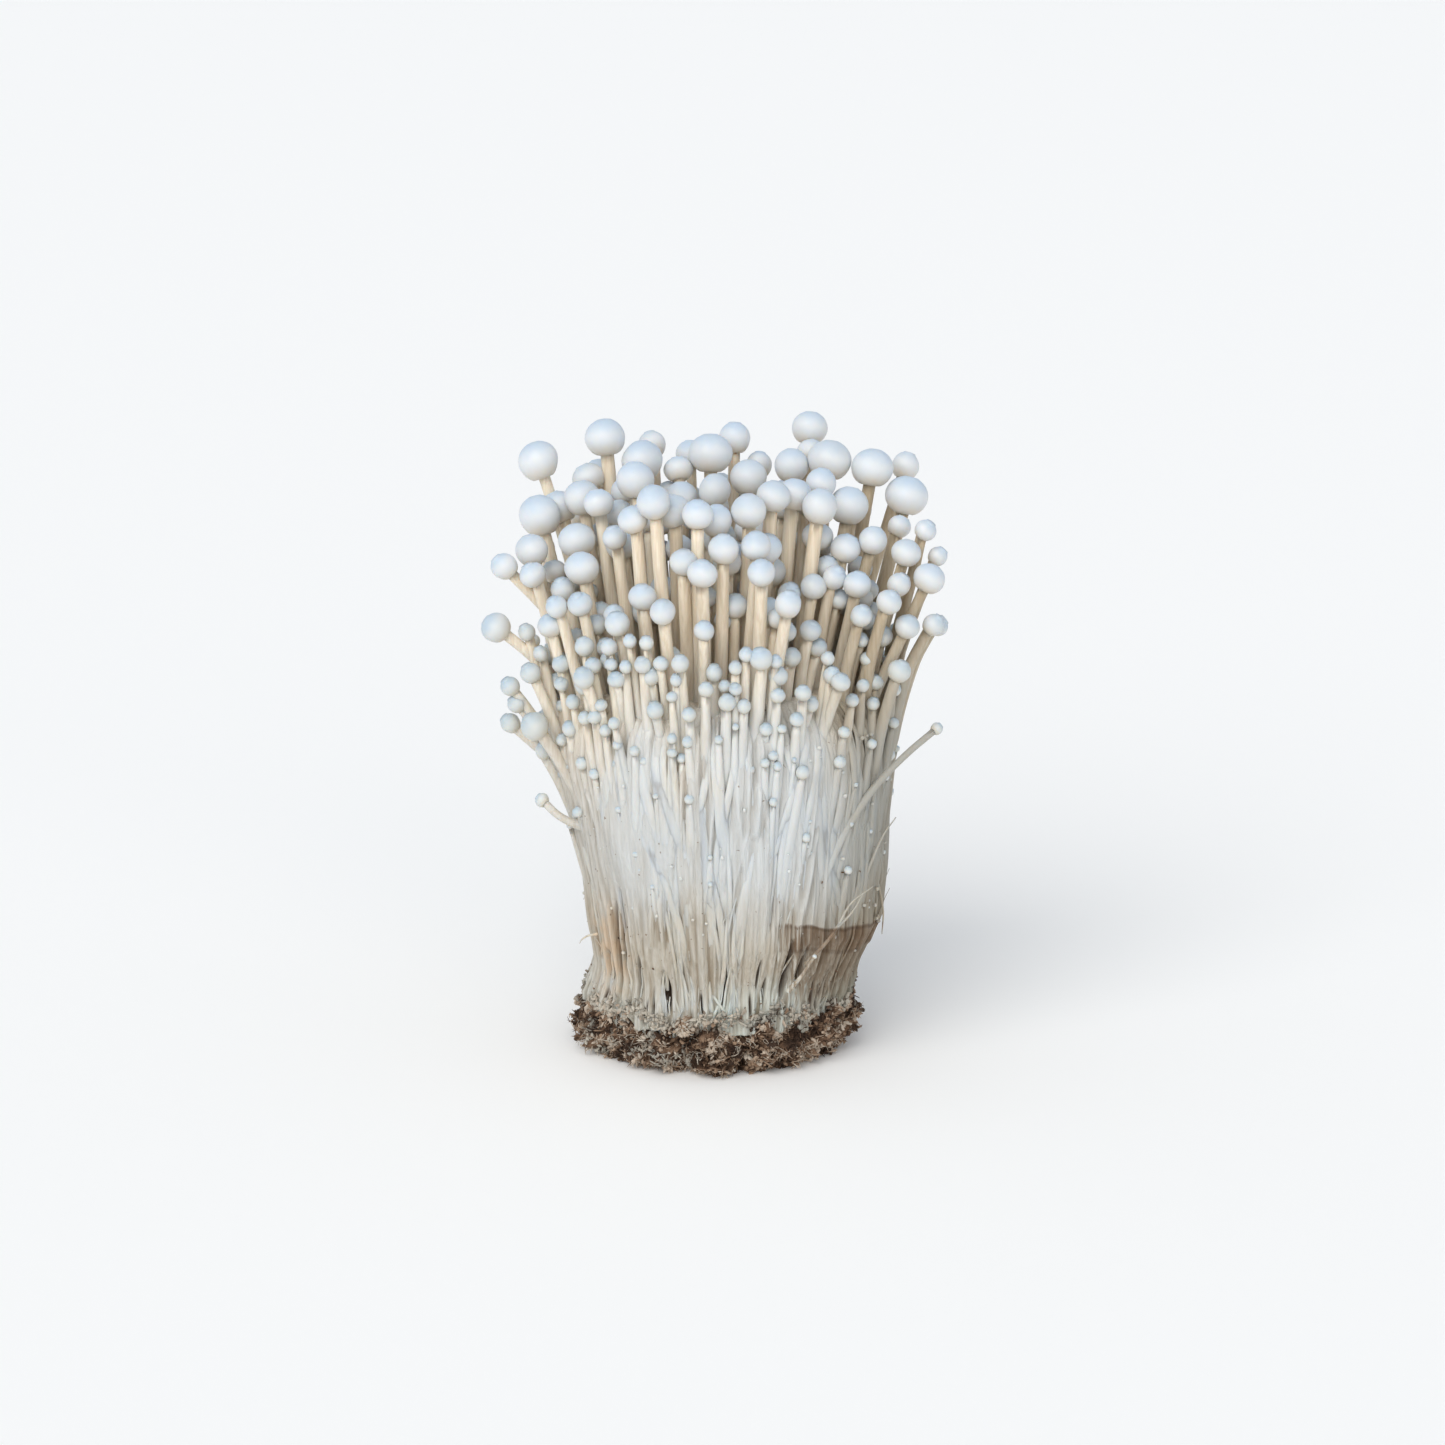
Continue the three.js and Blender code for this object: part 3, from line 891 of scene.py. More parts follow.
# The fused mass: one skin round the bunch, drawn in relief from the stems that have grown together in it.
fused = {
    "columns": 1040,
    "rows": 82,
    "domeRings": 9,
    "low": 11.5,
    "shoulder": 94,
    "lobes": 0.008,
    "recede": ((73, 0), (80, 0.9), (86, 2.6), (90, 5.2), (94, 9.5)),
    "strandHalfWidths": (0.42, 1.5),
    "strandRise": (0.6, 1.8),
    "overlays": 170,
    "fibreRise": 0.13,
    # how often round the bunch the strands fan out, how far, and where
    "fans": ((4, 0.05, 0.6), (7, 0.045, 2.9), (11, 0.022, 4.4)),
    # across the front: where, from what height, to what height, half width, depth
    "frontGaps": (
        (-21.5, 20, 47, 0.75, 3.6), (-17.5, 16, 30, 0.6, 3.0), (-11.5, 14, 27, 1.0, 4.2),
        (-3, 14, 22, 0.4, 2.4), (2.2, 17, 37, 0.55, 3.6), (10.5, 22, 31, 0.35, 2.2),
        (17, 17, 36, 0.7, 3.6), (20.5, 16, 34, 0.65, 3.4), (24.5, 14, 22, 0.5, 2.6),
        (-25, 14, 24, 0.5, 2.4), (7, 40, 52, 0.35, 1.8), (14, 38, 60, 0.4, 1.6),
    ),
    "otherGaps": 34,
    "pits": 70,
    "web": {"rises": (40, 54), "falls": (92, 76), "share": 0.72},
    "dome": {"sinks": 3, "lumps": 0.7},
}


def wrapAngle(a):
    return (a + math.pi) % (2 * math.pi) - math.pi


def softNoise(angles, heights, waves, tallest, seedCount):
    # a few random waves round the bunch that drift with height
    total = np.zeros(np.broadcast(angles, heights).shape)
    for _ in range(seedCount):
        n = int(rng.integers(waves[0], waves[1]))
        phase = rng.uniform(0, 6.28)
        drift = np.sin(heights * rng.uniform(0.3, 1) * 6.28 / tallest + rng.uniform(0, 6.28))
        total += np.sin(n * angles + phase + drift * rng.uniform(0.5, 2))
    return total / math.sqrt(seedCount)


def growFusedMass():
    angles = np.linspace(0, 2 * math.pi, fused["columns"], endpoint=False)[None]
    # closest rows low down, where there is most to show
    climb = np.linspace(0, 1, fused["rows"])[:, None] ** 1.3
    heights = fused["low"] + (fused["shoulder"] - fused["low"]) * climb
    reach = bunchAt("halfWidths", heights)
    z = heights[:, 0]
    relief = np.full((fused["rows"], fused["columns"]), -0.35)
    tone = np.full(relief.shape, 0.5)

    def lay(centre, half, rise, strandTone):
        # one strand: its direction, half width and rise at each height
        d = wrapAngle(angles - centre[:, None]) * reach * 0.94 / half[:, None]
        top = rise[:, None] * np.sqrt(np.clip(1 - d ** 2, 0, 1))
        top = np.where(np.abs(d) < 1, top, -1)
        wins = top > relief
        tone[wins] = strandTone
        np.maximum(relief, top, out=relief)

    def wander(size):
        a, b = rng.uniform(0, 6.28, 2)
        return size * (np.sin(z / 17 + a) + 0.5 * np.sin(z / 7.5 + b))

    def fanned(centre):
        # strands draw together and spread again round the bunch, more so the higher they are
        lean = sum(size * np.sin(n * centre + turn) for n, size, turn in fused["fans"])
        return centre + lean * (0.15 + 0.85 * smooth(18, 84, z))

    # a full round of strands, side by side
    at = 0.0
    while at < 2 * math.pi:
        half = rng.uniform(*fused["strandHalfWidths"])
        centre = fanned(at + half / 34) + wander(0.006)
        foot = 1 + 0.3 * smooth(22, 14, z)
        rise = rng.uniform(*fused["strandRise"]) * np.ones(len(z))
        lay(centre, half * foot * 1.08, rise, rng.uniform(0, 1))
        at += 1.7 * half / 34
    # more strands over them, each showing for part of the height
    for _ in range(fused["overlays"]):
        low = rng.uniform(8, 60)
        high = low + rng.uniform(12, 50)
        shown = smooth(low, low + 5, z) * smooth(high + 7, high, z)
        aslant = rng.normal() * 0.1 * (z - low) / 50
        lay(fanned(rng.uniform(0, 6.28)) + wander(0.01) + aslant, rng.uniform(0.4, 1.2) * (0.5 + 0.5 * shown),
            rng.uniform(1.2, 2.3) * shown - (1 - shown) * 2, rng.uniform(0, 1))
    # the lower ends of the young stems
    for line, radii in ridgesFromStems:
        places = np.array([flowPlace(p) for p in line])
        centre = np.interp(z, line[:, 2], np.unwrap(places[:, 0]))
        top = min(line[-1, 2], 104)
        shown = smooth(top - 5, top - 16, z)
        thick = np.interp(z, line[:, 2], radii)
        away = (np.interp(z, line[:, 2], places[:, 1]) - 1) * reachAt(centre, z) + thick
        cling = away + 0.6 + np.interp(z, *zip(*fused["recede"])) + 0.35 - 1.3 * smooth(top - 32, top - 10, z)
        cling = np.minimum(cling, 4 - 2.4 * smooth(86, 96, z))
        rise = np.maximum(1.2 + (cling - 1.2) * smooth(line[0, 2] + 2, line[0, 2] + 26, z), 0.7)
        rise = rise * smooth(line[0, 2] - 22, line[0, 2] - 4, z)
        half = (thick + 0.6) * (1 + 0.2 * smooth(40, 18, z))
        lay(centre, half, rise * shown - (1 - shown) * 2, rng.uniform(0, 1))

    # the web that has grown over them in the middle heights
    web = smooth(0.1, 1.1, softNoise(angles, heights, (2, 9), 60, 6))
    web = web * smooth(*fused["web"]["rises"], heights) * smooth(*fused["web"]["falls"], heights)
    level = np.mean([np.roll(relief, s, axis=1) for s in range(-12, 13)], axis=0)
    relief += (level + 0.3 - relief) * web * fused["web"]["share"]
    tone += (0.3 - tone) * web * 0.8
    relief += 0.4 * softNoise(angles, heights, (9, 24), 60, 6)
    # mould that has closed over the feet in patches
    closed = smooth(-0.1, 0.8, softNoise(angles, heights, (5, 26), 24, 6)) * smooth(27, 15, heights)
    relief += (level + 0.5 - relief) * closed * 0.5
    relief += 0.22 * softNoise(angles, heights, (50, 180), 7, 9) * smooth(24, 14, heights)
    # soften the creases, and lay fine fibres over everything
    relief = (np.roll(relief, 1, 1) + 2 * relief + np.roll(relief, -1, 1)) / 4
    fibres = softNoise(angles, heights, (90, 230), 90, 9)
    relief += fused["fibreRise"] * fibres * (1 - 0.6 * web)
    relief += (level - relief) * smooth(89, 96, heights) * 0.45
    # how far each point lies below the strands beside it, kept for the painted shade in the grooves
    highest = np.max([np.roll(relief, s, axis=1) for s in range(-7, 8)], axis=0)
    groove = np.clip((highest - relief) / 1.1, 0, 1) ** 1.2

    # gaps between bundles, low down, cut in and painted dark as shade
    gap = np.zeros(relief.shape)

    def openGap(centre, low, high, half, depth):
        lens = np.sin(np.clip((z - low) / (high - low), 0, 1) * math.pi)[:, None] ** 0.7
        drift = centre + 0.012 * np.sin(z / 9 + low)[:, None]
        d = wrapAngle(angles - drift) * reach * 0.94 / (half * (0.45 + 0.55 * lens))
        cut = lens * np.exp(-d ** 2)
        relief[:] = relief - depth * cut
        gap[:] = np.maximum(gap, np.clip(cut * 1.5 - 0.15, 0, 1))

    for x, low, high, half, depth in fused["frontGaps"]:
        openGap(angleAcross(x, 1, (low + high) / 2), low, high, half, depth)
    for _ in range(fused["otherGaps"]):
        low = rng.uniform(13, 22)
        centre = front + rng.uniform(0.75, 2 * math.pi - 0.75)
        openGap(centre, low, low + rng.uniform(7, 28), rng.uniform(0.4, 1.0), rng.uniform(2, 4))
    # small pits where the feet of the stems stand in the mould
    for _ in range(fused["pits"]):
        low = rng.uniform(10, 17)
        centre, high = rng.uniform(0, 6.28), low + rng.uniform(1.2, 3.3) ** 2
        openGap(centre, low, high, rng.uniform(0.14, 0.36), rng.uniform(0.5, 2.2))

    mould = smooth(21, 13, heights) * (0.8 + 0.5 * softNoise(angles, heights, (20, 90), 12, 6))
    relief += np.clip(mould, 0, 2) * 0.5

    lobes = 1 + fused["lobes"] * np.sin(2 * angles + 0.9)
    lobes = lobes + fused["lobes"] * np.sin(5 * angles + 0.02 * heights)
    inward = np.interp(z, *zip(*fused["recede"]))[:, None]
    share = (reach * lobes + relief - 0.6 - inward) / reach
    wall = flowPoint(angles, share, heights + 0 * angles)
    wall[..., 2] += 1.6 * softNoise(angles, heights, (5, 34), 30, 7) * smooth(16.5, 12, heights)
    wall = wall.reshape(-1, 3)

    # close the top with a lumpy hollow, and the underside flat
    heap = Heap()
    rings = [wall]
    marks = {"groove": [groove.ravel()], "tone": [tone.ravel()], "gap": [gap.ravel()]}
    lastShare = share[-1]
    domeRings, dome = fused["domeRings"], fused["dome"]
    for k in range(1, domeRings + 1):
        inner = 1 - (k / (domeRings + 1)) ** 0.9
        lump = dome["lumps"] * softNoise(angles, heights[:1], (9, 60), 30, 7)[0] * inner
        ringHeight = fused["shoulder"] - dome["sinks"] * (1 - inner ** 2) + lump
        rings.append(flowPoint(angles[0], lastShare * inner, ringHeight))
        # the hollow top is given a middling painted shade
        for name, value in (("groove", 0.6), ("tone", 0.5), ("gap", 0.0)):
            marks[name].append(np.full(fused["columns"], value))
    columns = fused["columns"]
    count = fused["rows"] + domeRings
    base = np.array([plantMiddle[0] + bunch["lopsided"][0], plantMiddle[1], fused["low"]])
    peak = np.array([plantMiddle[0], plantMiddle[1], fused["shoulder"] - dome["sinks"]])
    points = np.vstack([base[None], *rings, peak[None]])
    marks = {name: np.concatenate([[0.5], *values, [0.5]]) for name, values in marks.items()}
    heap.pour(points, tubeFaces(count, columns), **marks)
    piece = heap.make("fused_mass", fusedFibres)
    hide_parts("fused_stem_base")
    print("fused mass:", count * columns, "faces")


growFusedMass()

# Thin stems that lie on the outside of the fused mass, some of them aslant over the rest.
surfaceStems = {
    "kinds": {
        # how many, half widths, heights where they start, lengths, how far aslant, thickness over width
        "thin": (230, (0.2, 0.6), (14, 52), (16, 46), 0.06, 0.7),
        "broad": (150, (0.8, 1.55), (24, 52), (34, 54), 0.12, 0.42),
        "low": (250, (0.16, 0.5), (8.5, 13), (5, 20), 0.045, 0.8),
    },
    "pinheads": 130,
    "pinheadHalfWidths": (0.22, 0.62),
}


def roundStone(divisions):
    stone = bmesh.new()
    bmesh.ops.create_icosphere(stone, subdivisions=divisions, radius=1)
    points = np.array([v.co for v in stone.verts])
    faces = np.array([[v.index for v in f.verts] for f in stone.faces])
    stone.free()
    return points, faces


def growSurfaceStems():
    t = np.linspace(0, 1, 18)
    for kind, (count, halfWidths, lows, lengths, aslant, thin) in surfaceStems["kinds"].items():
        heap = Heap()
        for _ in range(count):
            low = rng.uniform(*lows)
            high = min(low + rng.uniform(*lengths), 93)
            half = rng.uniform(*halfWidths)
            heights = low + (high - low) * t
            angle = rng.uniform(0, 6.28)
            spread = 0.5 * aslant * np.sin(2 * (angle - front)) + rng.normal() * aslant
            bend = 0.6 * aslant * rng.normal() * np.sin(3 * t + rng.uniform(0, 6.28))
            showing = smooth(0, 0.45, t) * smooth(1, 0.75, t)  # both ends sink into the mass
            out = 0.2 + half * thin * 0.3 - (0.4 + 2 * half * thin) * (1 - showing)
            share = 1 + (out - np.interp(heights, *zip(*fused["recede"]))) / reachAt(0, heights)
            line = smoothLine(flowPoint(angle + spread * t ** 1.5 + bend, share, heights), 18)
            outward = line - [*plantMiddle, 0]
            outward[:, 2] = 0
            outward /= np.linalg.norm(outward, axis=1)[:, None]
            radii = half * (0.75 + 0.35 * np.sin(math.pi * t ** 0.7))
            points = tubePoints(line, np.repeat(radii[:, None], 10, axis=1), np.full(18, thin), outward)
            heap.pour(points, tubeFaces(18, 10), cap=0.0, rise=-1.0, tone=rng.uniform(0, 1))
        piece = heap.make("surface_stems_" + kind, mushroomSkin)

    # stems that never grew: pinheads all over the outside
    dot, faces = roundStone(2)
    heap = Heap()
    for _ in range(surfaceStems["pinheads"]):
        angle, height = rng.uniform(0, 6.28), 84 - 58 * rng.uniform(0, 1) ** 1.6
        half = rng.uniform(*surfaceStems["pinheadHalfWidths"])
        away = 1.0 - np.interp(height, *zip(*fused["recede"])) + half * 0.4
        shape = dot * half * rng.uniform(0.8, 1.15, 3)
        shape = shape + flowPoint(angle, 1 + away / reachAt(angle, height), height)
        heap.pour(shape, faces, cap=rng.uniform(0.1, 0.6), rise=-0.2, tone=rng.uniform(0, 1))
    piece = heap.make("pinheads", mushroomSkin)
    print("surface stems ready")


growSurfaceStems()

# Loose ends: fibres that have come away from the fused mass, and the stray stems that lean out of it.
looseEnds = {
    "fibres": 60,
    "thickness": (0.09, 0.26),
    "strays": (
        # points as across, back, height, then the button's width or nothing, and how thick the stem is
        (((25, -25.5, 44), (28, -25, 54), (32.5, -22.5, 63), (38.5, -19, 71), (46, -14, 77.5),
          (53.6, -9, 82.6)),
         3.1, 0.85),
        (((35, -16, 40), (38, -16, 50), (41, -14, 57), (44.5, -12, 61.5)), 0, 0.5),
        (((22, -31, 30), (29, -29.5, 38), (33, -27, 44), (38.5, -24, 47.5)), 0, 0.42),
        (((29, -29.5, 38), (32.5, -28, 41), (36, -26.5, 46.5)), 0, 0.34),
        (((18, -32, 23), (20.5, -32.5, 27), (24, -32, 32)), 1.1, 0.35),
        (((-26, -12, 59), (-33, -13.5, 60), (-38, -13, 62), (-41.6, -11, 64.8)), 3.5, 0.95),
        (((-24, -14, 58), (-30, -15.5, 61), (-32.8, -17.5, 64)), 2.7, 0.8),
        (((-29, -16, 33), (-32.5, -15, 31), (-33.4, -14, 29.6)), 0, 0.3),
        (((40, -8, 44), (41.8, -8, 36), (41.6, -8, 30)), 0, 0.35),
    ),
}


def growLooseEnds():
    heap = Heap()
    for points, width, thick in looseEnds["strays"]:
        path = np.array(points, float) + [*plantMiddle, 0]
        line = wobbled(smoothLine(path, 20), 0.3)
        t = np.linspace(0, 1, 20)
        if width:
            axis = unit(line[-1] - line[-3])
            radii = thick * (1.9 - 0.9 * smooth(0, 0.7, t))
            middle = line[-1] + axis * width / 2 * 0.6
            growMushroom(heap, line, radii, middle, axis, width, 0.95, 0.3)
        else:
            radii = thick * (1.3 - 1.05 * t)
            points = tubePoints(line, np.repeat(radii[:, None], 8, axis=1))
            heap.pour(points, tubeFaces(20, 8), cap=0.0, rise=-1.0, tone=0.3)
    piece = heap.make("stray_stems", mushroomSkin)

    heap = Heap()
    for _ in range(looseEnds["fibres"]):
        angle = front + rng.normal() * 1.1 if rng.random() < 0.6 else rng.uniform(0, 6.28)
        low = rng.uniform(16, 62)
        long = rng.uniform(4, 15)
        upward = rng.random() < 0.7
        t = np.linspace(0, 1, 9)
        heights = low + long * t * (1 if upward else -0.8)
        lift = rng.uniform(0.4, 2.6) * t ** 2
        shares = 1.004 + lift / 35
        line = smoothLine(flowPoint(angle + rng.normal() * 0.07 * t ** 1.5, shares, heights), 12)
        radii = rng.uniform(*looseEnds["thickness"]) * (1.1 - 0.85 * np.linspace(0, 1, 12))
        heap.pour(tubePoints(line, np.repeat(radii[:, None], 6, axis=1)), tubeFaces(12, 6),
                  groove=0.0, tone=rng.uniform(0, 0.6), gap=0.0)
    piece = heap.make("loose_fibres", fusedFibres)
    print("loose ends ready")


growLooseEnds()

# The plug of sawdust: a rough body, with crumbs, splinters, shavings and mould threads all over it.
plug = {
    # share of the half width, by height
    "outline": ((0, 0.88), (1.2, 0.94), (3, 0.975), (6, 0.98),
                (9, 0.965), (12, 0.94), (14.5, 0.89), (16, 0.82)),
    "height": 16,
    "columns": 560,
    "rows": 66,
    "lumps": 1.6,  # how far the rough body stands in and out
    "bodyInset": 0.7,
    "crumbs": 7400,
    "crumbSizes": (0.16, 0.72),
    "roundedOver": 0.56,  # size over which a crumb has more sides
    "splinters": 4200,
    "shavings": 90,
    "threads": 200,
    "flecks": 70,  # bits of sawdust caught on the stems above
    # shares of dark, middling and pale wood, and how pale each is
    "wood": ((0.35, (0.1, 0.35)), (0.5, (0.35, 0.55)), (0.15, (0.6, 0.95))),
}

# Crumbs heaped against the feet of the stems: the level they reach, how much higher in front,
# and waves round the plug as how many, how high and where they start.
drifts = {
    "count": 3000,
    "level": 11.9,
    "higherInFront": 2.4,
    "waves": ((5, 1.3, 1), (11, 0.9, 0), (23, 0.7, 2)),
    "spread": 1.25,
    "standOff": 1.7,
}
plugHalf = (blockHigh - blockLow)[:2] / 2


def lumpField(scale, octaves=2):
    # smooth noise in space, made of random waves and kept for use at any place
    ways, phases, sizes = [], [], []
    for octave in range(octaves):
        for _ in range(9):
            ways.append(unit(rng.normal(size=3)) * scale * 2 ** octave * rng.uniform(0.6, 1.4))
            phases.append(rng.uniform(0, 6.28))
            sizes.append(0.33 / 1.5 ** octave)
    ways, phases, sizes = np.array(ways), np.array(phases), np.array(sizes)
    return lambda points: (np.sin(np.atleast_2d(points) @ ways.T + phases) * sizes).sum(1)


clods, hollows, mouldPatches, woodPatches = (lumpField(scale) for scale in (0.75, 1.5, 0.5, 0.6))


def plugPoint(angle, height, out=0.0):
    share = np.interp(height, *zip(*plug["outline"]))
    angle, height, out = np.broadcast_arrays(angle, np.asarray(height, float), out)
    smoothWall = np.stack([np.cos(angle) * plugHalf[0], np.sin(angle) * plugHalf[1], height], axis=-1)
    flat = smoothWall.reshape(-1, 3)
    lumps = (plug["lumps"] * (clods(flat) + 0.5 * hollows(flat))).reshape(angle.shape)
    lumps = lumps * smooth(-2.5, 2.5, height)
    x = plugMiddle[0] + (plugHalf[0] * share + out + lumps) * np.cos(angle)
    y = plugMiddle[1] + (plugHalf[1] * share + out + lumps) * np.sin(angle)
    return np.stack([x, y, height], axis=-1)


def mouldAt(points, angle):
    # whiter on the left, and up where the stems stand in it
    left = smooth(0.1, 1.0, np.cos(angle - math.radians(205)))
    patches = smooth(0.25, 0.9, mouldPatches(points))
    high = smooth(10.5, 14.5, np.atleast_2d(points)[:, 2])
    return np.clip(0.8 * high + 0.35 * left + 0.6 * patches, 0, 1)


def randomTurn():
    q = unit(rng.normal(size=4))
    w, x, y, z = q
    return np.array([[1 - 2 * (y * y + z * z), 2 * (x * y - w * z), 2 * (x * z + w * y)],
                     [2 * (x * y + w * z), 1 - 2 * (x * x + z * z), 2 * (y * z - w * x)],
                     [2 * (x * z - w * y), 2 * (y * z + w * x), 1 - 2 * (x * x + y * y)]])


def chipped(stone, depth):
    return stone * (1 + rng.uniform(-depth, depth, (len(stone), 1)))


def randomSizes(*ranges):
    return [rng.uniform(*ends) for ends in ranges]


def makePlugBody():
    angles = np.linspace(0, 2 * math.pi, plug["columns"], endpoint=False)[None]
    heights = np.linspace(0, plug["height"], plug["rows"])[:, None]
    wall = plugPoint(angles + 0 * heights, heights + 0 * angles, -plug["bodyInset"]).reshape(-1, 3)
    rough = 0.6 * lumpField(3.2, 4)(wall)
    away = wall - plugMiddle
    away[:, 2] = 0
    away /= np.linalg.norm(away, axis=1)[:, None]
    wall += away * rough[:, None]
    wall[:, 2] = np.maximum(wall[:, 2] + 0.4 * clods(wall) * (wall[:, 2] > 0.2), 0)
    points = np.vstack([plugMiddle, wall, plugMiddle + [0, 0, plug["height"] - 0.5]])
    # paler where the body stands out and darker where it sinks in, a painted shade; the wood patches are its
    # own colour
    tone = np.clip(0.14 + 0.2 * rough + 0.15 * woodPatches(wall), 0, 1)
    mould = mouldAt(wall, np.tile(angles[0], plug["rows"])) * 0.5
    heap = Heap()
    heap.pour(points, tubeFaces(plug["rows"], plug["columns"]),
              tone=np.concatenate([[0.3], tone, [0.3]]), mould=np.concatenate([[0.0], mould, [0.5]]))
    piece = heap.make("sawdust_plug", sawdust)
    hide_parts("substrate_block")
    print("plug body ready")


def makeCrumbs():
    small, big = roundStone(1), roundStone(2)
    crumbs = {"front": Heap(), "back": Heap()}

    def heapAt(angle):
        return crumbs["front" if math.sin(angle) < 0 else "back"]

    def farOut(place):
        return np.hypot(*(place - plugMiddle)[:2])

    def drop(shape, faces, angle, height, out, tone, onStems=None):
        # one piece of sawdust, turned at random and pressed into the plug, never below the ground
        place = plugPoint(angle, height, out)
        if onStems is not None and farOut(onStems) > farOut(place):
            place = onStems
        points = shape @ randomTurn().T + place
        points[:, 2] = np.maximum(points[:, 2], 0)
        where = points.mean(0)
        # random wood colour, with painted shade: darker in the hollows and the deeper a crumb is pressed in
        tone = 0.08 + 0.84 * tone + 0.36 * woodPatches(where)[0] + 0.36 * hollows(where)[0] + 0.12 * out
        mould = float(mouldAt(where, angle)[0] + rng.normal() * 0.15)
        heapAt(angle).pour(points, faces, tone=np.clip(tone, 0, 1), mould=mould)

    def somewhere():
        return rng.uniform(0, 2 * math.pi), rng.uniform(0.2, plug["height"] - 0.6)

    def woodTone():
        shares, tones = zip(*plug["wood"])
        return rng.choice(randomSizes(*tones), p=shares)

    for _ in range(plug["crumbs"]):
        size = rng.uniform(*plug["crumbSizes"]) ** 1.4
        stone, faces = big if size > plug["roundedOver"] else small
        shape = chipped(stone, 0.35) * randomSizes((0.5, 0.9), (0.6, 1.1), (0.8, 1.9))
        drop(shape * size, faces, *somewhere(), rng.uniform(-0.9, 0.4), woodTone())

    stone, faces = small
    for _ in range(drifts["count"]):
        size = rng.uniform(*plug["crumbSizes"]) ** 1.3
        shape = chipped(stone, 0.35) * randomSizes((0.4, 0.9), (0.6, 1.1), (0.8, 2.2))
        angle = rng.uniform(0, 2 * math.pi)
        level = drifts["level"] + drifts["higherInFront"] * max(-math.sin(angle), 0) ** 2
        level += sum(high * math.sin(count * angle + start) for count, high, start in drifts["waves"])
        level += rng.normal() * drifts["spread"]
        out = rng.uniform(-0.5, 0.6)
        onStems = flowPoint(angle, 1 + (drifts["standOff"] + out) / reachAt(angle, level), level)
        drop(shape * size, faces, angle, level, out, woodTone(), onStems)
    for _ in range(plug["splinters"]):
        thin = randomSizes((0.05, 0.14), (0.07, 0.22), (0.5, 2.0))
        drop(chipped(stone, 0.2) * thin, faces, *somewhere(), rng.uniform(-0.6, 0.7), woodTone() + 0.1)
    for _ in range(plug["shavings"]):
        # a thin curl of wood
        curl, t = rng.uniform(0.4, 1.1), np.linspace(0, rng.uniform(1.5, 4.2), 9)
        line = np.stack([curl * np.cos(t), curl * np.sin(t), rng.uniform(-0.3, 0.3) * t], axis=1)
        radii = np.full((9, 6), rng.uniform(0.2, 0.45)) * np.linspace(0.7, 1, 9)[:, None]
        shape = tubePoints(line, radii, squash=np.full(9, 0.2))
        drop(shape, tubeFaces(9, 6), *somewhere(), rng.uniform(-0.5, 0.4), woodTone() + 0.1)
    for _ in range(plug["flecks"]):
        angle, height = rng.uniform(0, 2 * math.pi), plug["height"] + 42 * rng.uniform(0, 1) ** 2
        size = rng.uniform(0.12, 0.42) * np.array((0.5, 0.8, rng.uniform(0.9, 2)))
        place = flowPoint(angle, 1 + 1.1 / reachAt(angle, height), height)
        points = chipped(stone, 0.3) * size @ randomTurn().T + place
        heapAt(angle).pour(points, faces, tone=rng.uniform(0, 0.5), mould=0.0)
    for side, heap in crumbs.items():
        piece = heap.make("sawdust_crumbs_" + side, sawdust, rounded=False)
    print("crumbs ready")


def makeMouldThreads():
    heap = Heap()
    for _ in range(plug["threads"]):
        angle, height = rng.uniform(0, 6.28), rng.uniform(2, 17)
        around, up, out = rng.normal(size=7) * 0.025, rng.normal(size=7) * 0.7, rng.uniform(-0.3, 0.3, 7)
        climb = np.clip(height + np.cumsum(up), 0.4, 17)
        line = smoothLine(plugPoint(angle + np.cumsum(around), climb, 0.35 + np.cumsum(out)), 12)
        radii = np.full((12, 5), rng.uniform(0.04, 0.1))
        heap.pour(tubePoints(line, radii), tubeFaces(12, 5), tone=0.9, mould=0.8)
    piece = heap.make("mould_threads", sawdust)
    print("mould threads ready")


makePlugBody()
makeCrumbs()
makeMouldThreads()

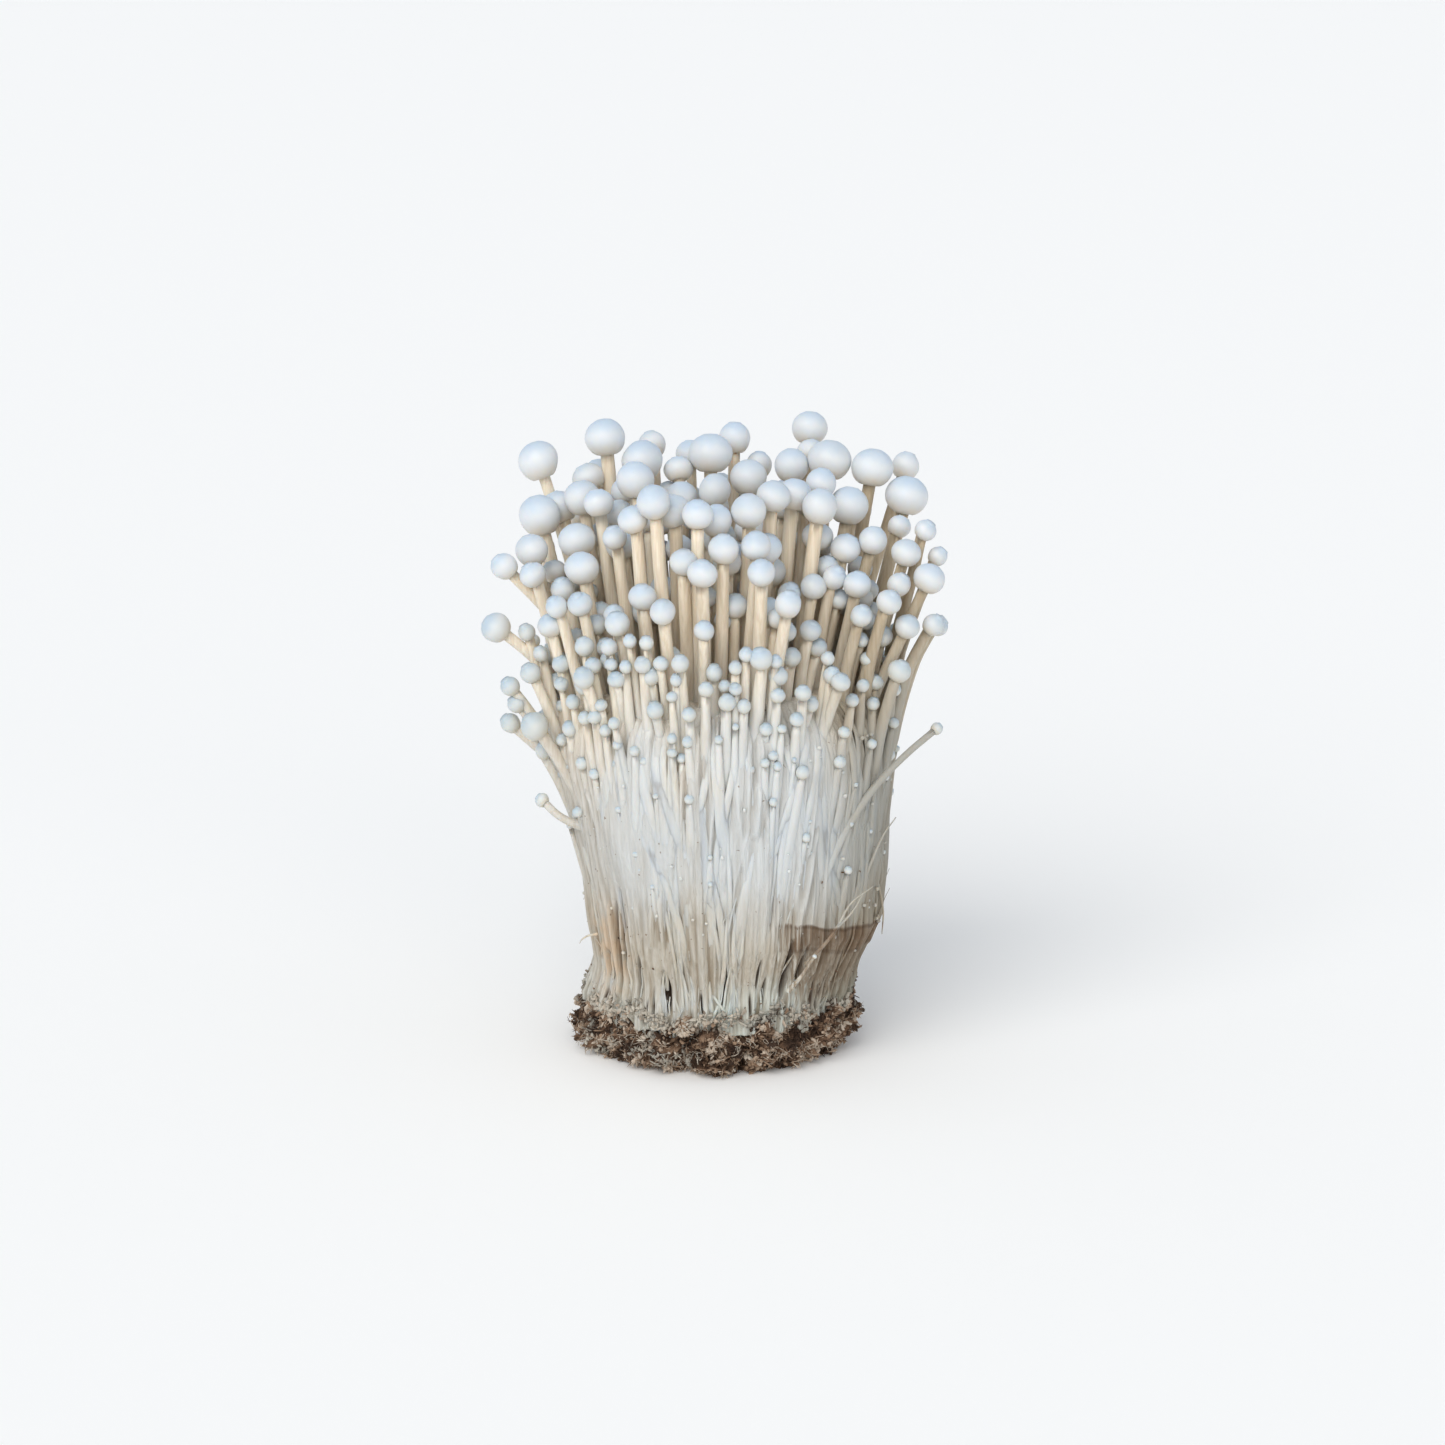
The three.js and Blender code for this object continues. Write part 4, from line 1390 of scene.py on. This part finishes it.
studio = {
    "floor": paint(253, 252, 249),
    "floorHalf": 30,  # metres, so that its far edge is never seen from above
    "sky": paint(233, 240, 250),
    "skyStrength": 0.66,
    "elevation": 15,
    "distance": 0.85,
    "lens": 85,
    "aim": (2.4, 77.8),  # across, and up the picture, of the point that the camera looks at
    # where each lamp shines from, how broad it is in degrees, its strength and its colour
    "lamps": (
        ((-0.45, -0.8, 0.8), 50, 1.68, paint(255, 253, 250)),
        ((0.3, -1.0, 0.15), 60, 0.86, paint(255, 244, 231)),
    ),
}


def setStudio():
    scene = bpy.context.scene
    tilt = math.radians(studio["elevation"])
    across, up = (value * millimetre for value in studio["aim"])
    aim = Vector((across, 0, up / math.cos(tilt)))
    camera = bpy.data.objects.new("camera", bpy.data.cameras.new("camera"))
    camera.data.lens, camera.data.sensor_width, camera.data.clip_start = studio["lens"], 36, 0.01
    camera.location = aim + Vector((0, -math.cos(tilt), math.sin(tilt))) * studio["distance"]
    camera.rotation_euler = (math.pi / 2 - tilt, 0, 0)
    scene.collection.objects.link(camera)
    scene.camera = camera

    floorMesh = bpy.data.meshes.new("floor")
    far = studio["floorHalf"]
    corners = [(-far, -far, 0), (far, -far, 0), (far, far, 0), (-far, far, 0)]
    floorMesh.from_pydata(corners, [], [(0, 1, 2, 3)])
    floor = bpy.data.objects.new("floor", floorMesh)
    scene.collection.objects.link(floor)
    looks = {"Base_Color": studio["floor"], "Roughness": 0.9, "Specular_IOR_Level": 0.1}
    floorMesh.materials.append(newMaterial("floorPaint", **looks)[0])

    world = bpy.data.worlds.new("sky")
    world.use_nodes = True
    background = world.node_tree.nodes["Background"].inputs
    background["Color"].default_value = studio["sky"]
    background["Strength"].default_value = studio["skyStrength"]
    scene.world = world
    for place, breadth, strength, colour in studio["lamps"]:
        lamp = bpy.data.objects.new("lamp", bpy.data.lights.new("lamp", "SUN"))
        lamp.data.angle, lamp.data.energy, lamp.data.color = math.radians(breadth), strength, colour[:3]
        lamp.rotation_euler = (-Vector(place)).to_track_quat("-Z", "Y").to_euler()
        scene.collection.objects.link(lamp)
    scene.view_settings.view_transform = "Standard"
    print("studio set")


setStudio()
